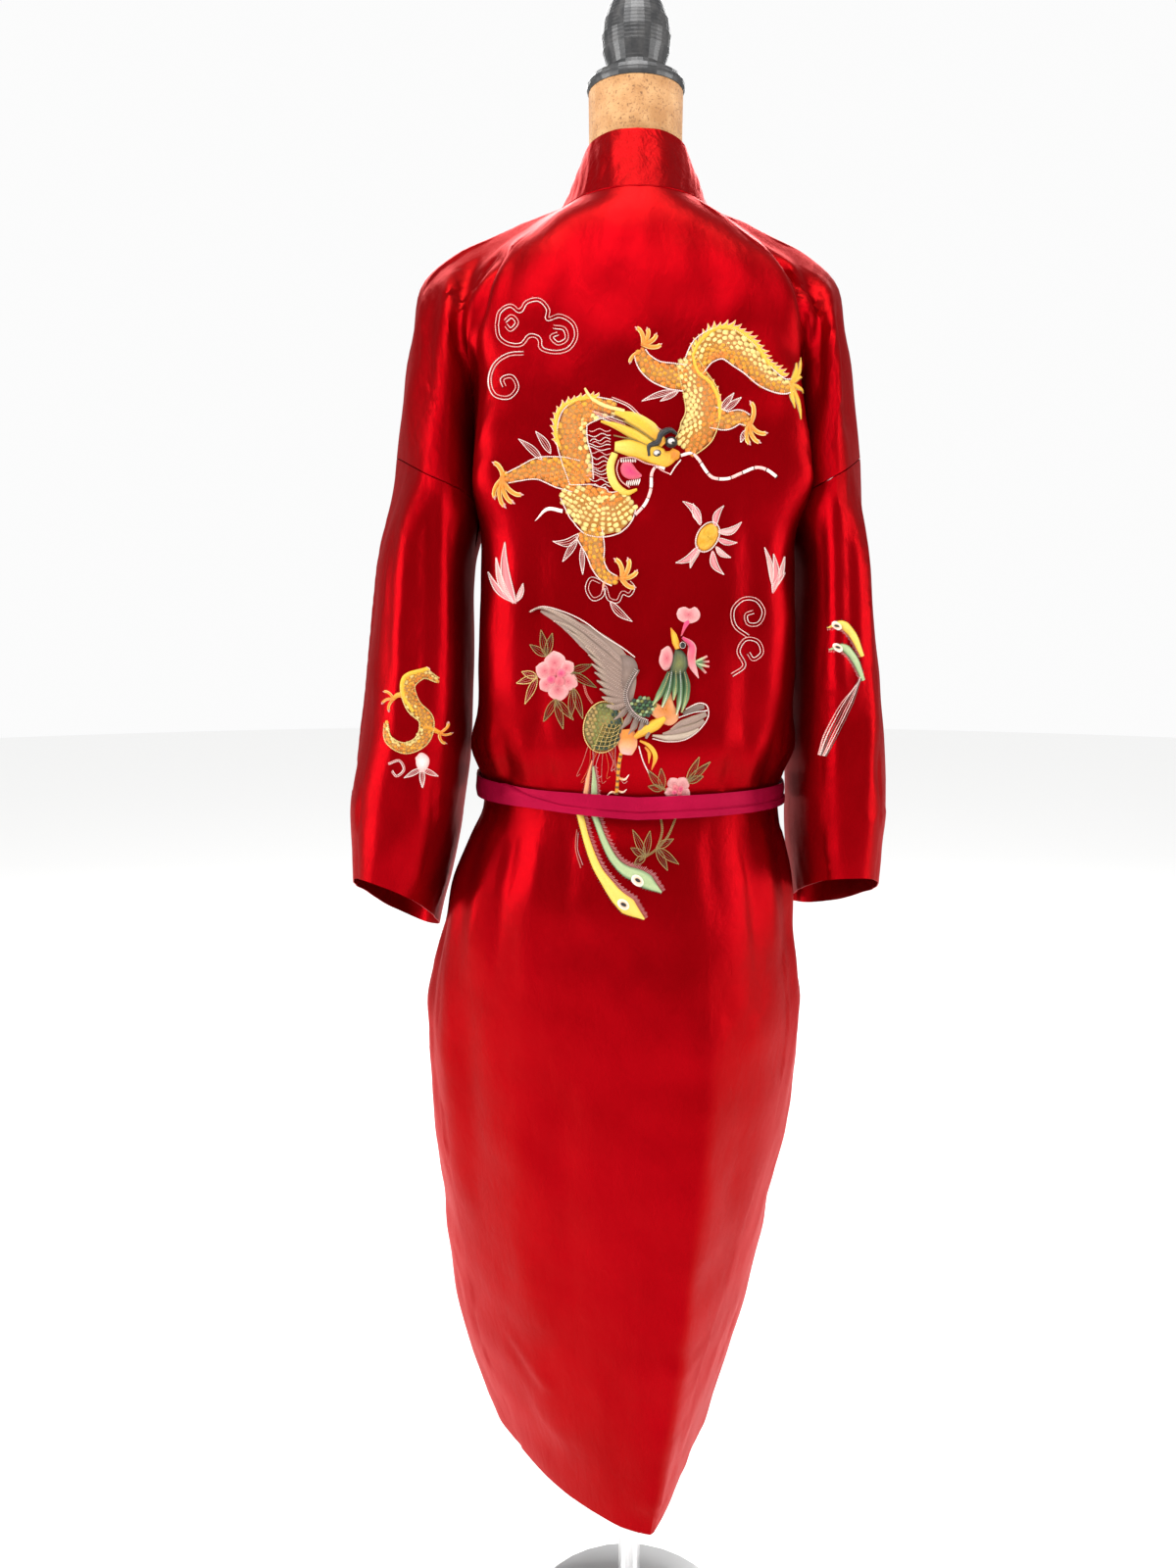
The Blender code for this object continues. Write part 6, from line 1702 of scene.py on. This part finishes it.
phoenix.patch(ellipse((4.25, 42.85), 0.24, 0.27), "black", "black", 0.0008, 0.0040, around=18, rings=4)
phoenix.cord(ellipse((4.25, 42.85), 0.27, 0.30), "white", 0.03, 0.0042, closed=True)
for tip, shade in (((6.6, 43.9), "paleGreen"), ((6.8, 44.4), "green"), ((6.8, 44.9), "paleGreen"),
                   ((6.5, 45.5), "green")):
    middle = (6.0, (44.5 + tip[1]) / 2)
    phoenix.stroke([(5.4, 44.5), middle, tip], [0.12, 0.16, 0.12], [shade, shade, "pink"], 0.0010)
phoenix.stroke([(2.6, 49.8), (1.8, 50.4), (0.7, 51.0), (-0.3, 51.7)], [0.30, 0.58, 0.52, 0.22],
               ["yellow", "yellow", "amber"], 0.0018, 0.0024, across=7, edge="amber")
phoenix.stroke([(-1.1, 50.9), (-1.0, 51.7), (-1.0, 52.5), (-1.1, 53.3)], [0.62, 0.98, 0.98, 0.60],
               ["orange", "orange", "peach", "palePink"], 0.0018, 0.0010, across=9, edge="peach")
leg = evenly(smoothLine([(-1.6, 53.2), (-1.8, 54.3), (-1.9, 56.0), (-2.0, 57.4)], 100), 21)
phoenix.stroke(leg[::4], [0.18, 0.20, 0.16, 0.18], "amber", 0.0015, 0.0004)
for k in range(1, 20, 3):
    phoenix.stroke(leg[k:k + 2], [0.19, 0.19], "brown", 0.0018, 0.0006)
for path in ([(-1.9, 55.7), (-1.2, 55.9), (-0.8, 55.4)], [(-2.0, 57.0), (-1.4, 57.2), (-1.0, 56.9)],
             [(-2.0, 57.3), (-2.5, 57.2), (-2.9, 57.5)]):
    phoenix.stroke(path, [0.12, 0.14, 0.03], ["amber", "silver"], 0.0011, 0.0003)
phoenix.stroke([(0.2, 52.0), (1.1, 52.5), (1.7, 53.5), (1.4, 54.9)], [0.10, 0.24, 0.26, 0.04],
               ["amber", "yellow", "orange"], 0.0014)
phoenix.stroke([(0.7, 52.6), (1.1, 53.2), (1.1, 54.2)], [0.10, 0.18, 0.03],
               ["orange", "yellow"], 0.0013, 0.0006)
phoenix.cord([(0.1, 52.5), (0.5, 53.9), (1.1, 55.2)], "silver", 0.06, 0.0010)
phoenixPiece = phoenix.finish("phoenix_embroidery", silkFloss)
print("phoenix sewn")

flowers = Stitching(backLattice)


# A peony: overlapping rounded petals about a centre, paler at their rims, and a bright heart.
def peony(work, centre, reach, petals, size, heart, rimShade):
    for k in range(petals):
        angle = 2 * math.pi * k / petals + 0.4
        spot = (centre[0] + reach * 0.56 * math.cos(angle), centre[1] + reach * 0.60 * math.sin(angle))
        wide = size * (0.90 + 0.18 * math.sin(2.1 * k))
        petal = ellipse(spot, wide, wide * 0.92, angle, 10)
        petal[::2] = spot + (petal[::2] - spot) * 1.08
        work.patch(petal, heart, rimShade, 0.0014, 0.0003 + 0.0003 * (k % 3), around=32, bow=0.8)
    for k in range(4):
        angle = 2 * math.pi * k / 4 + 1.0
        spot = (centre[0] + reach * 0.26 * math.cos(angle), centre[1] + reach * 0.26 * math.sin(angle))
        work.patch(ellipse(spot, size * 0.56, size * 0.50, angle, 9), "magenta" if k % 2 else "rose", "pink",
                   0.0013, 0.0020, around=26, rings=5)


peony(flowers, (-7.8, 45.8), 2.15, 6, 1.05, "rose", "palePink")
peony(flowers, (3.95, 57.0), 1.30, 5, 0.72, "pink", "palePink")
leafSets = [
    ((-8.8, 43.9), [(-9.3, 41.4), (-8.2, 41.7), (-10.4, 42.8)], "oldGold"),
    ((-9.7, 45.9), [(-11.7, 46.5), (-10.9, 48.5), (-11.2, 45.4)], "paleGold"),
    ((-7.9, 48.0), [(-9.1, 50.2), (-7.2, 50.9), (-6.2, 50.0)], "oldGold"),
    ((-6.2, 46.9), [(-5.3, 49.9), (-6.5, 49.9)], "oldGold"),
    ((-6.5, 45.4), [(-4.4, 44.7), (-4.0, 46.9)], "olive"),
    ((2.5, 56.9), [(1.0, 54.9), (2.3, 54.7), (1.1, 56.6)], "oldGold"),
    ((4.9, 56.2), [(6.0, 53.6), (7.1, 54.1), (6.5, 55.6)], "oldGold"),
    ((0.8, 63.4), [(-0.4, 60.9), (1.3, 61.0), (-0.6, 62.6), (-0.3, 64.2)], "oldGold"),
    ((1.9, 62.6), [(3.6, 61.8), (4.1, 64.2), (3.0, 64.8)], "oldGold"),
]
for root, tips, shade in leafSets:
    for tip in tips:
        flowers.leaf(root, tip, 0.34, outline=shade, inside="brown"
                     if shade != "paleGold" else "coral", lines=2)
for path, shade in (([(-5.2, 46.6), (-4.9, 47.6), (-4.4, 48.4)], "coral"),
                    ([(4.0, 59.4), (3.0, 61.6), (1.7, 62.9), (0.2, 63.8)], "oldGold"),
                    ([(2.3, 59.4), (2.5, 61.0), (2.1, 62.4)], "oldGold"),
                    ([(3.0, 57.3), (2.6, 56.8), (1.7, 56.4)], "oldGold")):
    flowers.doubleCord(path, shade, 0.06)
flowersPiece = flowers.finish("peony_embroidery", silkFloss)

clouds = Stitching(backLattice)
cloudPaths = [
    [(-13.3, 13.2), (-13.0, 12.0), (-12.0, 11.5), (-11.1, 12.1), (-10.5, 11.3), (-9.3, 11.1), (-8.5, 12.0),
     (-8.6, 12.8), (-7.4, 12.5), (-6.2, 13.2), (-5.9, 14.4), (-6.6, 15.5), (-8.0, 15.8), (-9.2, 15.4),
     (-9.3, 14.6), (-10.2, 14.3), (-11.0, 15.1), (-12.2, 15.0), (-13.1, 14.3), (-13.3, 13.2)],
    [(-12.5, 12.9), (-11.9, 12.5), (-11.4, 13.1), (-12.0, 13.7), (-12.4, 13.3)],
    [(-8.0, 13.5), (-7.0, 13.7), (-6.8, 14.6), (-7.6, 15.0), (-8.2, 14.4), (-7.6, 14.1)],
    [(-10.8, 15.9), (-12.2, 16.0), (-13.5, 16.8), (-14.0, 18.2), (-13.5, 19.6), (-12.2, 19.9), (-11.4, 19.0),
     (-11.9, 18.0), (-12.8, 18.2), (-12.6, 18.9)],
    [(9.0, 45.7), (10.2, 44.8), (9.6, 43.4), (10.3, 42.3), (11.5, 42.5), (11.9, 43.6),
     (11.1, 44.2), (10.6, 43.6)],
    [(10.5, 42.0), (9.2, 41.0), (9.0, 39.5), (10.0, 38.5), (11.3, 38.6), (12.0, 39.7), (11.5, 40.8),
     (10.5, 40.8), (10.3, 40.0), (11.0, 39.7)],
    [(-3.6, 36.9), (-4.5, 36.6), (-4.9, 37.5), (-4.3, 38.5), (-3.5, 38.2), (-3.2, 37.4), (-2.8, 38.5),
     (-2.0, 38.7), (-1.5, 37.9), (-0.9, 38.1), (-0.5, 37.4), (-0.9, 36.9)],
]
for path in cloudPaths:
    clouds.doubleCord(path, "silver", 0.15, 0.038)
flames = [      # root, tip, half width, lean
    ((-2.7, 38.7), (-0.6, 40.6), 0.32, 0.2, None),
    ((-11.7, 38.9), (-12.7, 33.1), 0.40, -0.5, "pink"),
    ((-11.9, 38.9), (-13.6, 34.5), 0.30, -0.4, "palePink"),
    ((-12.1, 38.7), (-14.5, 35.8), 0.28, -0.3, "pink"), ((-11.6, 38.7), (-11.0, 37.0), 0.24, 0.1, "palePink"),
    ((12.9, 37.9), (12.9, 34.2), 0.34, 0.3, "pink"), ((12.9, 37.6), (14.1, 34.4), 0.28, 0.2, "palePink"),
    ((12.9, 37.2), (14.2, 35.9), 0.22, 0.0, "pink"), ((12.8, 37.0), (12.0, 33.6), 0.22, 0.2, "palePink"),
    ((5.8, 31.6), (4.1, 29.4), 0.34, 0.4, "pink"), ((5.9, 31.4), (5.1, 29.6), 0.26, -0.2, "palePink"),
    ((7.2, 31.8), (8.0, 29.8), 0.28, -0.3, "pink"), ((7.4, 32.2), (9.7, 31.3), 0.32, 0.4, "palePink"),
    ((7.4, 32.8), (9.3, 33.2), 0.24, 0.2, "pink"), ((5.6, 33.6), (3.5, 35.1), 0.32, -0.4, "pink"),
    ((5.8, 33.9), (4.9, 35.6), 0.24, 0.2, "palePink"), ((7.0, 34.0), (8.1, 36.2), 0.32, 0.4, "pink"),
    ((7.3, 33.6), (8.7, 34.6), 0.24, 0.2, "palePink"),
]
for root, tip, bow, lean, fill in flames:
    clouds.leaf(root, tip, bow, lean=lean, lines=2, fill=fill)
clouds.patch(ellipse((6.5, 32.7), 0.95, 1.42, 0.5), "yellow", "amber", 0.0024, 0.0008, around=36)
clouds.cord(ellipse((6.5, 32.7), 1.0, 1.48, 0.5), "silver", 0.06, 0.0016, closed=True)
cloudsPiece = clouds.finish("cloud_flame_embroidery", metalThread)
print("flowers and clouds sewn")

leftSleeveWork = Stitching(leftLattice)
leftSleeveWork.scaled([(-19.3, 46.2), (-20.6, 45.6), (-22.0, 46.6), (-21.6, 48.6), (-20.4, 50.0),
                       (-20.8, 51.9), (-22.4, 52.7), (-24.0, 51.8), (-24.2, 50.3)],
                      [0.20, 0.45, 0.62, 0.66, 0.62, 0.58, 0.50, 0.36, 0.12], ["orange", "amber", "paleGold"],
                      0.38, outline="paleGold")
fin(leftSleeveWork, [(-20.2, 45.1), (-22.3, 45.9), (-22.5, 47.6), (-21.6, 49.2)], 9, 0.32, -1.0)
for middle, tips in (((-23.4, 48.0), [(-24.4, 47.3), (-24.6, 48.4), (-23.9, 49.1)]),
                     ((-19.2, 51.3), [(-18.5, 50.4), (-18.3, 51.5), (-18.8, 52.4)])):
    leftSleeveWork.foot(middle, tips, 0.15)
leftSleeveWork.stroke([(-22.2, 47.6), (-23.0, 47.6), (-23.5, 48.0)], [0.34, 0.28, 0.20], "amber", 0.0014)
leftSleeveWork.stroke([(-20.6, 50.6), (-19.9, 50.9), (-19.2, 51.3)], [0.34, 0.28, 0.20], "amber", 0.0014)
leftSleeveWork.patch([(-21.5, 53.6), (-20.9, 53.1), (-20.2, 53.7), (-20.3, 54.6), (-20.9, 55.2),
                      (-21.4, 54.5)], "white", "palePink", 0.0014)
for tip in ((-22.6, 55.6), (-20.9, 56.6), (-19.5, 55.6)):
    leftSleeveWork.leaf((-20.9, 54.7), tip, 0.22)
leftSleeveWork.doubleCord([(-24.0, 54.2), (-23.0, 53.9), (-22.6, 54.8), (-23.3, 55.4),
                           (-23.7, 54.9)], "silver", 0.07)
leftSleevePiece = leftSleeveWork.finish("sleeve_left_embroidery", silkFloss)

rightSleeveWork = Stitching(rightLattice)
for k in range(6):
    rightSleeveWork.cord([(21.6 - 0.14 * k, 45.2 + 0.3 * k), (20.6 - 0.22 * k, 48.4), (19.3 - 0.2 * k, 51.4),
                          (18.4 - 0.1 * k, 53.6)], ("darkTaupe", "silver",
                                                    "rosySilver")[k % 3], 0.035, 0.0009)
plume(rightSleeveWork, [(21.6, 46.2), (20.7, 44.1), (19.5, 43.0), (18.4, 43.3)], [0.20, 0.34, 0.46, 0.06],
      "paleGreen", "green", eye=(19.1, 43.1), fringe=0.26, eyeSize=0.9)
plume(rightSleeveWork, [(21.5, 43.9), (20.5, 41.8), (19.3, 40.8), (18.3, 41.2)], [0.20, 0.34, 0.46, 0.06],
      "lemon", "yellow", eye=(19.0, 41.0), fringe=0.26, eyeSize=0.9)
rightSleevePiece = rightSleeveWork.finish("sleeve_right_embroidery", silkFloss)
print("sleeve motifs sewn")
floorLook = {"colour": (0.95, 0.95, 0.945), "roughness": 0.8, "glow": 0.46, "radius": 14.0, "sides": 96}
floorMaterial = newMaterial("paleFloor", floorLook["colour"], floorLook["roughness"],
                            sockets={"Emission Color": (1.0, 1.0, 0.995, 1.0),
                                     "Emission Strength": floorLook["glow"]})
floorTurn = np.linspace(0.0, 2 * math.pi, floorLook["sides"] + 1)[:-1]
floorRing = floorLook["radius"] * np.stack([np.cos(floorTurn), np.sin(floorTurn), 0 * floorTurn], axis=1)
floorMesh = bpy.data.meshes.new("floor")
floorMesh.from_pydata(floorRing.tolist(), [], [list(range(floorLook["sides"]))])
floorMesh.materials.append(floorMaterial)
floor = bpy.data.objects.new("floor", floorMesh)
scene.collection.objects.link(floor)

studioAir = {"seen": 0.97, "light": 0.46}          # the air is pale where seen, softer as a light
world = bpy.data.worlds.new("studio")
scene.world = world
world.use_nodes = True
backdrop = world.node_tree.nodes["Background"]
backdrop.inputs["Color"].default_value = (1.0, 1.0, 1.0, 1.0)
seen = world.node_tree.nodes.new("ShaderNodeLightPath")
strength = world.node_tree.nodes.new("ShaderNodeMapRange")
strength.inputs["To Min"].default_value = studioAir["light"]
strength.inputs["To Max"].default_value = studioAir["seen"]
world.node_tree.links.new(seen.outputs["Is Camera Ray"], strength.inputs["Value"])
world.node_tree.links.new(strength.outputs["Result"], backdrop.inputs["Strength"])
scene.view_settings.view_transform = "Standard"

studioLights = {
    "key": {"place": (0.3, 1.9, 3.2), "aim": (0.0, 0.05, 1.50), "size": (1.8, 1.2), "power": 56.0},
    "top": {"place": (0.05, 0.50, 3.3), "aim": (0.0, 0.08, 1.6), "size": (1.1, 0.7), "power": 30.0},
    "side": {"place": (-2.5, 0.9, 1.4), "aim": (0.0, 0.0, 1.1), "size": (0.5, 2.0), "power": 62.0},
    "fill": {"place": (2.5, 1.0, 1.5), "aim": (0.0, 0.0, 1.1), "size": (0.6, 2.0), "power": 80.0},
    "front": {"place": (0.1, -2.3, 3.2), "aim": (0.0, 0.0, 1.4), "size": (2.8, 1.2), "power": 84.0},
}
for name, light in studioLights.items():
    data = bpy.data.lights.new(name, "AREA")
    data.shape = "RECTANGLE"
    data.size, data.size_y = light["size"]
    data.energy = light["power"]
    lamp = bpy.data.objects.new(name, data)
    scene.collection.objects.link(lamp)
    lamp.location = light["place"]
    toward = np.array(light["aim"]) - np.array(light["place"])
    lamp.rotation_euler = (math.acos(-toward[2] / np.linalg.norm(toward)), 0.0,
                           math.atan2(toward[1], toward[0]) - math.pi / 2)

cameraView = {"place": (0.048, 1.26, 1.17), "tilt": 82.8, "turn": 180.0, "lens": 27.05, "sensor": 36.0}
camera = bpy.data.cameras.new("camera")
camera.lens = cameraView["lens"]
camera.sensor_width = cameraView["sensor"]
cameraObject = bpy.data.objects.new("camera", camera)
scene.collection.objects.link(cameraObject)
cameraObject.location = cameraView["place"]
cameraObject.rotation_euler = (math.radians(cameraView["tilt"]), 0.0, math.radians(cameraView["turn"]))
scene.camera = cameraObject

print("scene made")
